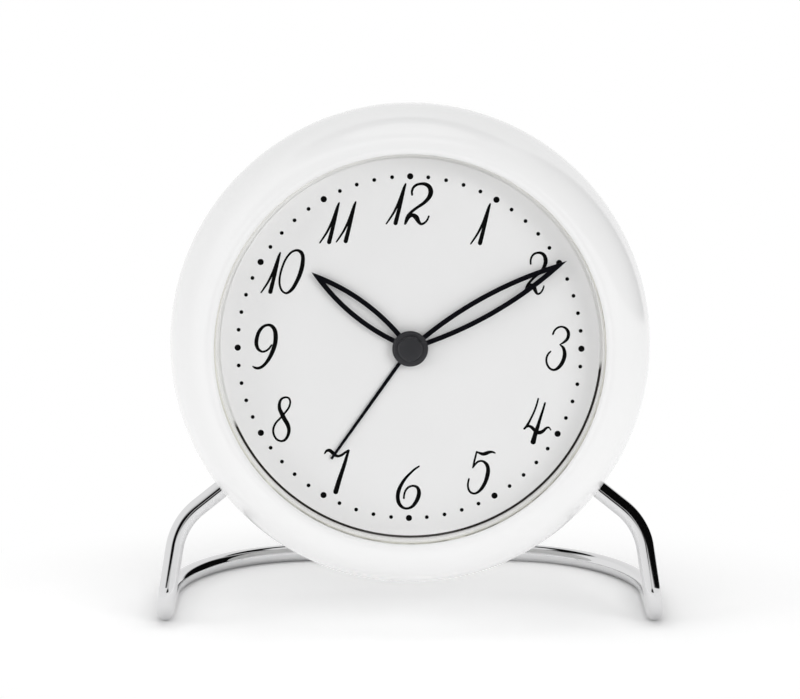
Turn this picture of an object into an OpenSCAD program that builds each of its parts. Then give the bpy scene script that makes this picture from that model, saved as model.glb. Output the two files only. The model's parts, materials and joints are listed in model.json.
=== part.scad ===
// Table clock with an alarm: a round lacquered case, tilted back on a bent wire stand.
// The clock's own frame has its Z along the dial's axis, toward the viewer, and Y toward twelve.
// Depths are measured back from the front face of the glass.

/* [Case] */
// Width of the bezel, from the opening over the glass to the widest place of the case
bezel_w = 10.96; // [10:0.02:20]
// Distance from the opening to the crest of the bezel
crest_in = 1.56; // [1:0.02:3]
// How far the crest stands in front of the glass
crest_rise = 1.6; // [0.8:0.1:3]
// Thickness of the bezel's inner lip
lip_t = 0.35; // [0.2:0.05:0.7]
// Depth at which the case is widest
widest_depth = 16; // [9:0.5:20]
// Length of the straight band at the widest place
band_len = 3.5; // [1:0.5:8]
// How much the radius shrinks toward the back
taper = 1.5; // [0.5:0.1:2.2]
// Width of the flat rim round the back cover
rear_rim = 0.8; // [0.4:0.1:1.2]
// Wall of the case
wall = 2.2; // [1.6:0.1:3]
// Angle by which the clock leans back
tilt = 6; // [0:0.5:12]
// Gap between the case and the table
case_lift = 9.93; // [6:0.01:16]

/* [Stand] */
// Radius of the wire
wire_r = 2.1; // [1.5:0.05:2.6]
// Half of the distance between the two rails
foot_half = 56.9; // [52:0.1:64]
// Lean of the legs, forward of upright
leg_lean = 16.5; // [8:0.5:24]
// Splay of the legs, outward of upright
leg_splay = 8.5; // [2:0.5:14]
// Angle below level at which a leg enters the case
entry_angle = 38.5; // [32:0.5:46]
// Depth at which the plane of the legs meets the dial's axis
leg_plane_depth = 24.3; // [20:0.1:28]
// Bend of a leg outside the case
leg_bend = 15; // [8:0.5:18]
// Bend of a foot, where the leg turns into the rail
foot_bend = 5.5; // [4:0.25:7]
// Length of a rail, from its foot's corner to the rear of the loop
rail_len = 56.3; // [46:0.1:64]
// Corner radius of the loop
loop_bend = 34; // [20:0.5:42]
// Depth of the flat that the wire rests on
rest_flat = 0.12; // [0.05:0.01:0.25]
// Length of wire inside the case
socket_len = 7.9; // [5:0.1:8.2]
// Wall of a socket around the wire
socket_wall = 2.1; // [1.2:0.1:3]

/* [Glass and dial] */
// Thickness of the glass
glass_t = 1.8; // [1.2:0.1:2.5]
// Thickness of the gasket behind the glass
gasket_t = 0.3; // [0.2:0.05:0.6]
// Width of the gasket
gasket_w = 1.3; // [0.8:0.05:1.3]
// Overlap of the bezel's lip over the edge of the glass
glass_ledge = 1; // [1:0.05:1.5]
// Length of the ring between the gasket and the carrier
dial_ring_len = 4.3; // [3.9:0.1:6]
// Step inward from the opening to the inner face of that ring
ring_step = 0.74; // [0.3:0.02:2]
// How far the inner face of that ring opens toward the dial
ring_flare = 0.65; // [0.5:0.05:1]
// Gap between the edge of the dial and the ring round it
dial_gap = 0.45; // [0.1:0.05:0.8]
// Thickness of the dial
dial_t = 0.5; // [0.3:0.05:1]
// Thickness of the carrier behind the dial
carrier_t = 1.6; // [1.2:0.1:2.5]

/* [Hands] */
// Distance from the tip of the minute hand to the edge of the dial
minute_gap = 3; // [1:0.05:8]
// Half of the minute hand's greatest width
minute_half = 2.58; // [1.8:0.02:3.2]
// Distance from the tip of the hour hand to the edge of the dial
hour_gap = 15.3; // [8:0.05:20]
// Half of the hour hand's greatest width
hour_half = 2.4; // [1.8:0.02:3.2]
// Width of the arms around the hollow of a hand
hand_arm = 1.1; // [0.7:0.05:1.3]
// Distance from the tip of the alarm hand to the edge of the dial
alarm_gap = 12.5; // [6:0.05:18]
// Width of the alarm hand at its hub
alarm_w = 0.85; // [0.6:0.05:1.4]
// Width of the alarm hand at its tip
alarm_tip_w = 0.6; // [0.4:0.05:1]
// Thickness of a hand
hand_t = 0.3; // [0.2:0.05:0.35]
// Radius of the minute hand's hub
minute_hub_r = 4.04; // [3:0.02:4.5]
// Radius of the cap on the hub
cap_r = 2.8; // [2:0.1:3.5]
// Height of the cap
cap_h = 0.8; // [0.4:0.1:1]
// Where the minute hand points, clockwise from twelve
minute_angle = 60.6; // [0:0.1:360]
// Where the hour hand points
hour_angle = 307.8; // [0:0.1:360]
// Where the alarm hand points
alarm_angle = 215.3; // [0:0.1:360]

/* [Movement] */
// Room between the motor and the corner posts of the square housing
motor_gap = 0.4; // [0.2:0.1:2]
// Thickness of the front plate
plate_t = 1.2; // [1:0.1:1.6]
// Depth of the housing behind the plate
housing_depth = 15.3; // [15.2:0.1:17]
// Wall of the housing
housing_wall = 1.5; // [1.2:0.1:2]
// Module of the hand-setting gears
motion_module = 0.4; // [0.38:0.01:0.42]
// Module of the motor's gears
train_module = 0.3; // [0.28:0.01:0.31]
// Play between meshing teeth, each tooth's share
backlash = 0.06; // [0.04:0.01:0.1]
// Thickness of a gear wheel
wheel_t = 0.9; // [0.7:0.05:0.95]
// Free space between neighbouring wheels
wheel_gap = 0.3; // [0.25:0.05:0.35]
// Radius of the minute shaft
shaft_r = 1.2; // [1:0.05:1.25]
// Wall of each tube around the shaft
tube_wall = 0.7; // [0.5:0.05:0.75]
// Running clearance of a shaft in its bore
play = 0.05; // [0.03:0.01:0.08]
// Radius of the arbors that carry the knobs
arbor_r = 1; // [0.8:0.05:1.2]
// Radius of a thin pivot
pivot_r = 0.5; // [0.4:0.05:0.6]
// Radius of the rotor's magnet
magnet_r = 2; // [1.5:0.1:2.5]

/* [Back] */
// Thickness of the back cover
cover_t = 2; // [1.5:0.1:2.5]
// Radius of the set knob and the alarm knob
knob_r = 7; // [5:0.1:8]
// Height of a knob
knob_h = 5; // [3:0.1:7]
// Number of flutes round a knob
knob_flutes = 24; // [12:1:30]
// Radius of the buzzer disc
buzzer_r = 10; // [8:0.5:11]
// Height of the buzzer
buzzer_h = 3; // [2:0.1:5]
// Travel of the alarm switch
switch_travel = 4; // [2:0.5:5]
// Radius of the battery
battery_r = 7.1; // [6.8:0.05:7.2]
// Length of the battery without its terminal
battery_len = 49.2; // [47:0.1:50]
// Wall of the battery tray
tray_wall = 1.2; // [1:0.1:1.4]
// Room between the movement and the battery tray
tray_clearance = 0.3; // [0.2:0.1:2]
// Room between the tray's corners and the rear opening of the case
opening_clearance = 0.54; // [0.3:0.02:3]

/* [Hidden] */
$fn = 96;
// How far a cut runs past the solid it cuts
over = 0.5;
// Clearance between pieces that are put together and stay still
fit = 0.1;
// Steps along the rounded parts of the case's outline
round_steps = 14;
lip_steps = 5;
back_steps = 6;

// Radius of a screw post in the corner of the movement, and how far in from its sides it stands
corner_r = 2.6;
corner_in = 3.6;

// Depths of the faces in the stack behind the glass
gasket_back = glass_t + gasket_t;
carrier_front = gasket_back + dial_ring_len;
dial_front = carrier_front - dial_t;
carrier_back = carrier_front + carrier_t;
plate_back = carrier_back + plate_t;
housing_back = plate_back + housing_depth;
housing_floor = housing_back - housing_wall;

// Battery tray behind the movement, and the back cover behind the tray
battery_y = -26;
battery_room = 1;
tray_gap = 0.3;
nub_r = 2.7;
nub_h = 1;
contact_room = 4;
tray_in_w = battery_len + nub_h + contact_room;
tray_in_h = 2 * battery_r + 2 * tray_gap;
tray_reach = norm([tray_in_w / 2 + tray_wall, -battery_y + tray_in_h / 2 + tray_wall]);
tray_floor = housing_back + tray_clearance + tray_wall;
battery_depth = tray_floor + tray_gap + battery_r;
cover_front = battery_depth + battery_r + battery_room;
case_depth = cover_front + cover_t;

// Radii of the case, which lets the tray and the glass in from behind, and of the glass and dial
rear_opening_r = tray_reach + opening_clearance;
glass_r = rear_opening_r - 4 * fit;
glass_seat_r = glass_r + 2 * fit;
opening_r = glass_seat_r - glass_ledge;
crest_r = opening_r + crest_in;
case_r = opening_r + bezel_w;
dial_ring_r = opening_r - ring_step;
ring_back_r = dial_ring_r + ring_flare;
dial_r = ring_back_r - dial_gap;
minute_len = dial_r - minute_gap;
hour_len = dial_r - hour_gap;
alarm_len = dial_r - alarm_gap;

// Depths of the hands, their gaps being the same as the gap above the dial
hand_gap = 0.35;
alarm_hand_depth = dial_front - hand_gap - hand_t;
hour_hand_depth = alarm_hand_depth - hand_gap - hand_t;
minute_hand_depth = hour_hand_depth - hand_gap - hand_t;

// The tubes that nest round the minute shaft
hour_bore_r = shaft_r + play;
hour_tube_r = hour_bore_r + tube_wall;
alarm_bore_r = hour_tube_r + play;
alarm_tube_r = alarm_bore_r + tube_wall;
hole_r = alarm_tube_r + play;

// Depths of the wheels, from the plate backward
alarm_wheel_depth = plate_back + wheel_gap;
hour_wheel_depth = alarm_wheel_depth + wheel_t + wheel_gap;
cannon_depth = hour_wheel_depth + wheel_t + 2 * wheel_gap;
centre_wheel_depth = cannon_depth + wheel_t + 3 * wheel_gap;
third_wheel_depth = centre_wheel_depth + wheel_t + 2 * wheel_gap;
magnet_depth = third_wheel_depth + wheel_t + 2 * wheel_gap;

// Teeth of the hand-setting gears, which turn the hour hand once for twelve turns
cannon_teeth = 15;
motion_teeth = 45;
motion_pinion_teeth = 12;
hour_teeth = 48;
alarm_teeth = 48;
alarm_pinion_teeth = 16;
// Teeth of the motor's gears, thirty rotor turns for one of the minute hand
centre_teeth = 60;
third_pinion_teeth = 12;
third_teeth = 60;
rotor_pinion_teeth = 10;
// Shape of a tooth, in modules, and its pressure angle
tooth_top_share = 0.8;
tooth_foot_share = 1.15;
pressure_angle = 25;

// Directions and places of the arbors round the centre
motion_angle = 150;
alarm_arbor_angle = 30;
third_angle = 270;
rotor_angle = 190;
motion_at = polar((cannon_teeth + motion_teeth) / 2 * motion_module, motion_angle);
alarm_at = polar((alarm_teeth + alarm_pinion_teeth) / 2 * motion_module, alarm_arbor_angle);
third_at = polar((centre_teeth + third_pinion_teeth) / 2 * train_module, third_angle);
rotor_at = third_at + polar((third_teeth + rotor_pinion_teeth) / 2 * train_module, rotor_angle);

// The motor's stator plate, coil and core
magnet_len = 2;
stator_t = 1;
stator_w = 20;
stator_bar = 8;
stator_leg = 4;
stator_drop = 12.8;
stator_gap = 0.4;
rotor_share = 0.7;
stator_depth = magnet_depth + (magnet_len - stator_t) / 2;
stator_left = rotor_at[0] - stator_w * rotor_share;
stator_right = stator_left + stator_w;
stator_top = rotor_at[1] + stator_bar / 2;
coil_r = 2.4;
coil_end_gap = 0.5;
coil_y = stator_top - stator_drop + stator_leg / 2;
coil_len = stator_w - 2 * stator_leg - 2 * coil_end_gap;
// The housing is square and just takes the motor between its corner posts
housing_w = 2 * (stator_drop - stator_top + motor_gap + corner_r + corner_in);
plate_w = housing_w + 2 * housing_wall;
core_t = 1;
core_w = 2.4;
core_depth = stator_depth + stator_t;

// The circuit board and what is soldered on it
board_w = 22;
board_h = 11;
board_t = 0.8;
board_standoff = 1.6;
board_edge_gap = 1;
board_depth = housing_floor - board_standoff - board_t;
board_left = -1;
board_bottom = -housing_w / 2 + housing_wall + board_edge_gap;
chip_r = 3;
chip_h = 1;
crystal_r = 1;
crystal_len = 6;
chip_shares = [0.7, 0.5];
crystal_shares = [0.1, 0.75];
chip_at = [board_left + board_w * chip_shares[0], board_bottom + board_h * chip_shares[1]];
crystal_at = [board_left + board_w * crystal_shares[0], board_bottom + board_h * crystal_shares[1]];
small_post_r = 1.2;
board_posts = [
    for (x = [board_left + 2 * small_post_r, board_left + board_w - 2 * small_post_r])
        [x, board_bottom + board_h / 2]
];
stator_posts = [
    for (x = [stator_left + stator_leg / 2, stator_right - stator_leg / 2])
        [x, rotor_at[1]]
];

// Posts of the carrier, by which the back cover holds it against the glass
post_r = 2.6;
post_edge_gap = 1.2;
post_ring_r = glass_r - post_edge_gap - post_r;
post_angles = [90, 210, 330];
// Screws of the back cover, in bosses behind the rear lip of the case
screw_r = 0.9;
screw_len = 7;
screw_head_r = 1.8;
screw_head_h = 1.1;
boss_r = 2;
boss_bite = 1;
screw_angles = [30, 150, 270];
// Corner screws of the movement, with their heads let into the housing
corner_screw_r = 0.9;
corner_head_r = 1.8;
corner_head_h = 0.8;
corner_bite = 1.2;

// The back cover and its rebate in the case
cover_rim = 0.5;
rear_lip_t = 2;
screw_ring_r = rear_opening_r + boss_r;
cover_r = screw_ring_r + screw_head_r + cover_rim;
rebate_r = cover_r + fit;
// Radius of the rounding at the back rim
back_round = case_r - taper - rebate_r - rear_rim;

// Battery contacts, and the door below the knobs
contact_t = 0.4;
contact_w = 8;
door_t = 1.2;
door_ledge = 1.2;
door_gap = 0.2;
thumb_r = 4;
// Sound holes over the buzzer
buzzer_y = 26.5;
sound_r = 0.9;
sound_spacing = 3.6;
sound_rings = 2;
// Alarm switch, between the knobs and the battery
switch_y = -8.5;
switch_neck = [3, 2];
switch_button = [8, 5, 2];
switch_plate = [9, 5, 1];
switch_gap = 0.3;
switch_play = 0.3;
// Knobs, and the solid floor over the end of an arbor
knob_gap = 0.4;
knob_floor = 1.2;
flute_r = 0.6;
// Sockets for the wire inside the case, and how far their ends go into its wall
socket_step = 0.8;
socket_bite_share = 0.75;
// Middle of a leaf hand, along its length
leaf_middle_share = 0.475;
// Rear journal of the minute shaft
journal_r = 0.8;

// Depth at which the straight band of the case ends
band_end = widest_depth + band_len;
// Height at which the dial's axis meets the face of the glass
axis_z = case_lift + band_end * sin(tilt) + case_r * cos(tilt);

// The stand's lines, in the leaning plane of the legs, where s is outward and w is down
rail_z = wire_r - rest_flat;
plane_z = axis_z - leg_plane_depth * sin(tilt);
foot_w = (plane_z - rail_z) / cos(leg_lean);
knee_reach = (foot_half - foot_w * tan(leg_splay))
    / (cos(entry_angle) - sin(entry_angle) * tan(leg_splay));
knee = polar(knee_reach, entry_angle);
knee_turn = 90 - leg_splay - entry_angle;
stub_dir = in_leg_plane(polar(1, entry_angle));
leg_dir = in_leg_plane(polar(1, 90 - leg_splay));
rail_dir = [0, 1, 0];
foot_turn = acos(leg_dir * rail_dir);
wire_end_reach = case_r - socket_len;
// The straight lengths lap over the bends and stand a hair proud of them, so that they join cleanly
join_lap = 0.2;
join_step = 0.01;

// The origin lies under the middle of the object's box, from its bezel to the rear of its loop
bezel_rise = widest_depth + crest_rise;
front_reach = norm([bezel_rise * cos(tilt), (case_r - crest_r) * sin(tilt)])
    + crest_r * sin(tilt) - widest_depth * cos(tilt);
foot_behind_axis = leg_plane_depth * cos(tilt) - foot_w * sin(leg_lean);
rear_reach = foot_behind_axis + rail_len + wire_r;
axis_y = (front_reach - rear_reach) / 2;
plane_origin = [0, axis_y + leg_plane_depth * cos(tilt), plane_z];
foot_corner = plane_origin + in_leg_plane([foot_half, foot_w]);

// A point at a radius and an angle from the X axis
function polar(r, a) = [r * cos(a), r * sin(a)];
// A direction or an offset in the leaning plane of the legs, as X, Y and Z
function in_leg_plane(p) = [p[0], -p[1] * sin(leg_lean), -p[1] * cos(leg_lean)];
function unit(v) = v / norm(v);
// How far a rounded corner starts before the corner point
function corner_cut(r, turn) = r * tan(turn / 2);
// Points of a quarter ellipse from one angle to another
function arc_points(centre, rx, ry, from, to, steps, first = 0) = [
    for (i = [first:steps])
        let (a = from + (to - from) * i / steps)
        [centre[0] + rx * cos(a), centre[1] + ry * sin(a)]
];

// One gear tooth after another: the flank is an involute, the foot a straight step
function flank_angle(r, base_r, half) =
    let (a = acos(min(1, base_r / r)))
    half + (tan(pressure_angle) - tan(a)) * 180 / PI - pressure_angle + a;
function gear_points(teeth, size, steps = 3) =
    let (
        pitch_r = teeth * size / 2,
        base_r = pitch_r * cos(pressure_angle),
        top_r = pitch_r + tooth_top_share * size,
        foot_r = pitch_r - tooth_foot_share * size,
        low_r = max(base_r, foot_r),
        half = 90 / teeth - backlash / 2 / pitch_r * 180 / PI
    )
    [
        for (i = [0:teeth - 1], side = [-1, 1], k = [0:steps + 1])
            let (
                step = side < 0 ? k : steps + 1 - k,
                r = step == 0 ? foot_r : low_r + (top_r - low_r) * (step - 1) / steps,
                a = i * 360 / teeth + side * flank_angle(max(r, low_r), base_r, half)
            )
            polar(r, a)
    ];

// Places its children on the dial's axis
module on_axis() {
    translate([0, axis_y, axis_z])
        rotate([90 - tilt, 0, 0])
            children();
}

// Moves its children to a depth behind the glass face
module at_depth(depth) {
    translate([0, 0, -depth])
        children();
}

// A disc or a tube between two depths
module disc(r, front, back, bore = 0) {
    at_depth(back)
        difference() {
            cylinder(r = r, h = back - front);
            if (bore > 0)
                translate([0, 0, -over])
                    cylinder(r = bore, h = back - front + 2 * over);
        }
}

// A flat piece between two depths, from a drawing
module plate(front, back) {
    at_depth(back)
        linear_extrude(height = back - front)
            children();
}

// A rectangle with round corners
module rounded_square(w, h, r) {
    union() {
        square([w - 2 * r, h], center = true);
        square([w, h - 2 * r], center = true);
        for (sx = [-1, 1], sy = [-1, 1])
            translate([sx * (w / 2 - r), sy * (h / 2 - r)])
                circle(r = r);
    }
}

// A toothed wheel between two depths, with one tooth toward a direction
module gear(teeth, size, front, back, dir) {
    plate(front, back)
        rotate(dir)
            polygon(gear_points(teeth, size));
}

// The direction in which a driven gear has a tooth, when its gap faces the driver
function facing_gap(dir, teeth) = dir + 180 + 180 / teeth;

// A straight round bar from a point along a direction
module rod(from, dir, len, r = wire_r) {
    side = unit(cross(dir, abs(dir[0]) > 0.9 ? [0, 0, 1] : [1, 0, 0]));
    third = cross(dir, side);
    multmatrix([
        [side[0], third[0], dir[0], from[0]],
        [side[1], third[1], dir[1], from[1]],
        [side[2], third[2], dir[2], from[2]],
        [0, 0, 0, 1]
    ])
        cylinder(r = r, h = len);
}

// A bent length of wire, where a line along dir_in turns at a corner into dir_out
module bend(corner, dir_in, dir_out, r) {
    turn = acos(dir_in * dir_out);
    start = corner - dir_in * corner_cut(r, turn);
    inward = unit(dir_out - dir_in * (dir_in * dir_out));
    centre = start + inward * r;
    up = cross(-inward, dir_in);
    multmatrix([
        [-inward[0], dir_in[0], up[0], centre[0]],
        [-inward[1], dir_in[1], up[1], centre[1]],
        [-inward[2], dir_in[2], up[2], centre[2]],
        [0, 0, 0, 1]
    ])
        rotate_extrude(angle = turn)
            translate([r, 0])
                circle(r = wire_r);
}

// A straight length of wire, which laps a little over the bends at its ends
module straight(from, dir, len) {
    rod(from - dir * join_lap, dir, len + 2 * join_lap, wire_r + join_step);
}

// One side of the stand, from its end in the case to the rear corner of the loop
module stand_side() {
    knee_cut = corner_cut(leg_bend, knee_turn);
    foot_cut = corner_cut(foot_bend, foot_turn);
    leg_len = norm([foot_half, foot_w] - knee);
    knee_point = plane_origin + in_leg_plane(knee);
    straight(plane_origin + stub_dir * wire_end_reach, stub_dir,
        knee_reach - knee_cut - wire_end_reach);
    bend(knee_point, stub_dir, leg_dir, leg_bend);
    straight(knee_point + leg_dir * knee_cut, leg_dir, leg_len - knee_cut - foot_cut);
    bend(foot_corner, leg_dir, rail_dir, foot_bend);
    straight(foot_corner + rail_dir * foot_cut, rail_dir, rail_len - foot_cut - loop_bend);
    bend(foot_corner + rail_dir * rail_len, rail_dir, [-1, 0, 0], loop_bend);
}

// The stand is one chromed wire: two legs, two feet and a loop that lies on the table
module stand_wire() {
    color("silver")
        difference() {
            union() {
                stand_side();
                mirror([1, 0, 0])
                    stand_side();
                straight(foot_corner + [-loop_bend, rail_len, 0], [-1, 0, 0],
                    2 * (foot_half - loop_bend));
            }
            translate([-foot_half * 2, -foot_half * 2, -wire_r])
                cube([foot_half * 4, foot_half * 4, wire_r]);
        }
}

// The round bar that runs along each end of the wire inside the case
module along_stubs(r, from, to) {
    for (side = [0, 1])
        mirror([side, 0, 0])
            rod(plane_origin + stub_dir * from, stub_dir, to - from, r);
}

// Outline of the case, as radius and height above the glass face
function case_outline() =
    let (
        tail_r = case_r - taper,
        tail_depth = case_depth - back_round,
        lip_in_depth = cover_front - rear_lip_t,
        points = concat(
            [[opening_r, 0]],
            arc_points([crest_r, -lip_t], crest_r - opening_r, crest_rise - lip_t, 180, 270, lip_steps),
            arc_points([crest_r, widest_depth], case_r - crest_r, bezel_rise, -90, 0, round_steps, 1),
            [[case_r, band_end]],
            arc_points([tail_r - back_round, tail_depth], back_round, back_round, 0, 90, back_steps),
            [
                [rebate_r, case_depth],
                [rebate_r, cover_front],
                [rear_opening_r, cover_front],
                [rear_opening_r, lip_in_depth],
                [tail_r - wall, lip_in_depth - wall],
                [case_r - wall, band_end],
                [case_r - wall, widest_depth],
                [glass_seat_r, carrier_back],
                [glass_seat_r, 0]
            ]
        )
    )
    [for (p = points) [p[0], -p[1]]];

// Case with the bezel in one piece, sockets inside for the ends of the wire, and screw bosses
module case_shell() {
    socket_from = wire_end_reach - socket_step;
    color("whitesmoke")
        difference() {
            union() {
                on_axis() {
                    rotate_extrude()
                        polygon(case_outline());
                    at_cover_screws()
                        disc(boss_r, cover_front - screw_len - boss_bite, cover_front - rear_lip_t / 2);
                }
                along_stubs(wire_r + socket_wall, socket_from, case_r - wall * socket_bite_share);
            }
            along_stubs(wire_r + play, socket_from - over, case_r + wall);
            on_axis()
                at_cover_screws()
                    disc(screw_r + fit, cover_front - screw_len - fit, cover_front + over);
        }
}

// Repeats its children where the back cover is screwed to the case
module at_cover_screws() {
    for (a = screw_angles)
        translate(polar(screw_ring_r, a))
            children();
}

// Flat window over the dial
module glass() {
    color("azure", 0.3)
        on_axis()
            disc(glass_r, 0, glass_t);
}

module glass_gasket() {
    color("gainsboro")
        on_axis()
            disc(glass_r, glass_t, gasket_back, glass_r - gasket_w);
}

// Ring between the glass and the carrier, which shows as a narrow band round the dial
module dial_ring() {
    color("white")
        on_axis()
            rotate_extrude()
                polygon([
                    [dial_ring_r, -gasket_back], [glass_r, -gasket_back],
                    [glass_r, -carrier_front], [ring_back_r, -carrier_front]
                ]);
}

module dial() {
    color("white")
        on_axis()
            disc(dial_r, dial_front, carrier_front, alarm_tube_r + hand_gap);
}

// Carrier of the dial and the movement, with the posts that the back cover bears on
module dial_carrier() {
    color("dimgray")
        on_axis()
            difference() {
                union() {
                    disc(glass_r, carrier_front, carrier_back, alarm_tube_r + hand_gap);
                    for (a = post_angles)
                        translate(polar(post_ring_r, a))
                            disc(post_r, carrier_back, cover_front);
                }
                at_corners()
                    disc(corner_screw_r + fit, carrier_back - corner_bite, carrier_back + over);
            }
}

// Drawing of a leaf hand that points to twelve, with its hollow and its hub
module leaf_outline(len, half, hub, bore) {
    middle = len * leaf_middle_share;
    r = ((len - middle) * (len - middle) + half * half) / (2 * half);
    difference() {
        union() {
            difference() {
                lens(r, r - half, middle);
                lens(r - hand_arm, r - half, middle);
            }
            circle(r = hub);
        }
        circle(r = bore);
    }
}

// The space that two equal circles share, the shape of a leaf
module lens(r, offset, middle) {
    intersection() {
        translate([offset, middle])
            circle(r = r);
        translate([-offset, middle])
            circle(r = r);
    }
}

module minute_hand() {
    color("black")
        on_axis()
            plate(minute_hand_depth, minute_hand_depth + hand_t)
                rotate(-minute_angle)
                    leaf_outline(minute_len, minute_half, minute_hub_r, shaft_r);
}

module hour_hand() {
    color("black")
        on_axis()
            plate(hour_hand_depth, hour_hand_depth + hand_t)
                rotate(-hour_angle)
                    leaf_outline(hour_len, hour_half, minute_hub_r - fit, hour_tube_r);
}

// Thin hand that shows the time of the alarm
module alarm_hand() {
    color("black")
        on_axis()
            plate(alarm_hand_depth, alarm_hand_depth + hand_t)
                rotate(-alarm_angle)
                    difference() {
                        union() {
                            circle(r = minute_hub_r - 2 * fit);
                            polygon([
                                [-alarm_w / 2, 0], [alarm_w / 2, 0],
                                [alarm_tip_w / 2, alarm_len], [-alarm_tip_w / 2, alarm_len]
                            ]);
                        }
                        circle(r = alarm_tube_r);
                    }
}

module hub_cap() {
    color("black")
        on_axis()
            disc(cap_r, minute_hand_depth - cap_h, minute_hand_depth);
}

// Repeats its children at the four corners of the movement
module at_corners() {
    reach = housing_w / 2 - corner_in;
    for (sx = [-1, 1], sy = [-1, 1])
        translate([sx * reach, sy * reach])
            children();
}

// Front plate of the movement, in which the arbors turn
module movement_plate() {
    color("tan")
        on_axis()
            plate(carrier_back, plate_back)
                difference() {
                    rounded_square(plate_w, plate_w, corner_in);
                    circle(r = hole_r);
                    translate(motion_at)
                        circle(r = arbor_r + play);
                    translate(alarm_at)
                        circle(r = arbor_r + play);
                    for (p = [third_at, rotor_at])
                        translate(p)
                            circle(r = pivot_r + play);
                    at_corners()
                        circle(r = corner_screw_r + fit);
                }
}

// Housing over the wheels, with posts for its screws, the stator and the circuit board
module movement_housing() {
    inner_w = housing_w - 2 * housing_wall;
    color("darkslategray")
        on_axis() {
            difference() {
                union() {
                    plate(plate_back, housing_floor)
                        difference() {
                            rounded_square(housing_w, housing_w, corner_in);
                            rounded_square(inner_w, inner_w, corner_in - housing_wall);
                        }
                    plate(housing_floor, housing_back)
                        rounded_square(housing_w, housing_w, corner_in);
                    at_corners()
                        disc(corner_r, plate_back, housing_back);
                    for (p = stator_posts)
                        translate(p)
                            disc(small_post_r, stator_depth + stator_t, housing_floor);
                    for (p = board_posts)
                        translate(p)
                            disc(small_post_r, board_depth + board_t, housing_floor);
                }
                disc(journal_r + play, housing_floor - over, housing_back + over);
                for (p = [motion_at, alarm_at])
                    translate(p)
                        disc(arbor_r + play, housing_floor - over, housing_back + over);
                for (p = [third_at, rotor_at])
                    translate(p)
                        disc(pivot_r + play, housing_floor - over, housing_back + over);
                at_corners() {
                    disc(corner_screw_r + fit, plate_back - over, housing_back + over);
                    disc(corner_head_r + fit, housing_back - corner_head_h, housing_back + over);
                }
            }
        }
}

// Four screws that hold the housing and the plate to the carrier
module movement_screws() {
    color("lightgray")
        on_axis()
            at_corners() {
                disc(corner_screw_r, carrier_back - corner_bite + fit, housing_back - corner_head_h);
                disc(corner_head_r, housing_back - corner_head_h, housing_back);
            }
}

// Shaft of the minute hand, with the pinion that drives the hour hand
module minute_shaft() {
    color("goldenrod")
        on_axis()
            union() {
                disc(shaft_r, minute_hand_depth, centre_wheel_depth + wheel_t);
                gear(cannon_teeth, motion_module, cannon_depth - wheel_gap / 2,
                    cannon_depth + wheel_t + wheel_gap / 2, motion_angle);
                disc(journal_r, centre_wheel_depth + wheel_t, housing_back - housing_wall / 3);
            }
}

// Wheel and pinion between the minute shaft and the hour wheel
module minute_wheel() {
    color("ivory")
        on_axis()
            translate(motion_at)
                difference() {
                    union() {
                        gear(motion_teeth, motion_module, cannon_depth, cannon_depth + wheel_t,
                            facing_gap(motion_angle, motion_teeth));
                        gear(motion_pinion_teeth, motion_module, hour_wheel_depth - wheel_gap / 2,
                            cannon_depth, motion_angle + 180);
                    }
                    disc(arbor_r, hour_wheel_depth - over, cannon_depth + wheel_t + over);
                }
}

module hour_wheel() {
    color("ivory")
        on_axis()
            difference() {
                union() {
                    gear(hour_teeth, motion_module, hour_wheel_depth, hour_wheel_depth + wheel_t,
                        facing_gap(motion_angle + 180, hour_teeth));
                    disc(hour_tube_r, hour_hand_depth, hour_wheel_depth + wheel_t);
                }
                disc(hour_bore_r, hour_hand_depth - over, hour_wheel_depth + wheel_t + over);
            }
}

module alarm_wheel() {
    color("ivory")
        on_axis()
            difference() {
                union() {
                    gear(alarm_teeth, motion_module, alarm_wheel_depth, alarm_wheel_depth + wheel_t,
                        alarm_arbor_angle);
                    disc(alarm_tube_r, alarm_hand_depth, alarm_wheel_depth + wheel_t);
                }
                disc(alarm_bore_r, alarm_hand_depth - over, alarm_wheel_depth + wheel_t + over);
            }
}

// Wheel on the minute shaft, which the motor's wheels drive
module centre_wheel() {
    color("ivory")
        on_axis()
            difference() {
                gear(centre_teeth, train_module, centre_wheel_depth, centre_wheel_depth + wheel_t,
                    third_angle);
                disc(shaft_r, centre_wheel_depth - over, centre_wheel_depth + wheel_t + over);
            }
}

// Wheel, pinion and pivots between the rotor and the centre wheel
module third_wheel() {
    color("ivory")
        on_axis()
            translate(third_at)
                union() {
                    disc(pivot_r, plate_back - plate_t / 2, housing_back - housing_wall / 3);
                    gear(third_pinion_teeth, train_module, centre_wheel_depth - wheel_gap / 2,
                        third_wheel_depth, facing_gap(third_angle, third_pinion_teeth));
                    gear(third_teeth, train_module, third_wheel_depth, third_wheel_depth + wheel_t,
                        rotor_angle);
                }
}

// Magnet of the motor, with its pinion and pivots
module rotor() {
    color("slategray")
        on_axis()
            translate(rotor_at)
                union() {
                    disc(pivot_r, plate_back - plate_t / 2, housing_back - housing_wall / 3);
                    gear(rotor_pinion_teeth, train_module, third_wheel_depth - wheel_gap / 2,
                        magnet_depth, facing_gap(rotor_angle, rotor_pinion_teeth));
                    disc(magnet_r, magnet_depth, magnet_depth + magnet_len);
                }
}

// Iron plate of the motor, a bar round the rotor with two legs to the coil
module stator() {
    color("silver")
        on_axis()
            plate(stator_depth, stator_depth + stator_t)
                difference() {
                    union() {
                        translate([stator_left, stator_top - stator_bar])
                            square([stator_w, stator_bar]);
                        for (x = [stator_left, stator_right - stator_leg])
                            translate([x, stator_top - stator_drop])
                                square([stator_leg, stator_drop]);
                    }
                    translate(rotor_at)
                        circle(r = magnet_r + stator_gap);
                }
}

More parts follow.
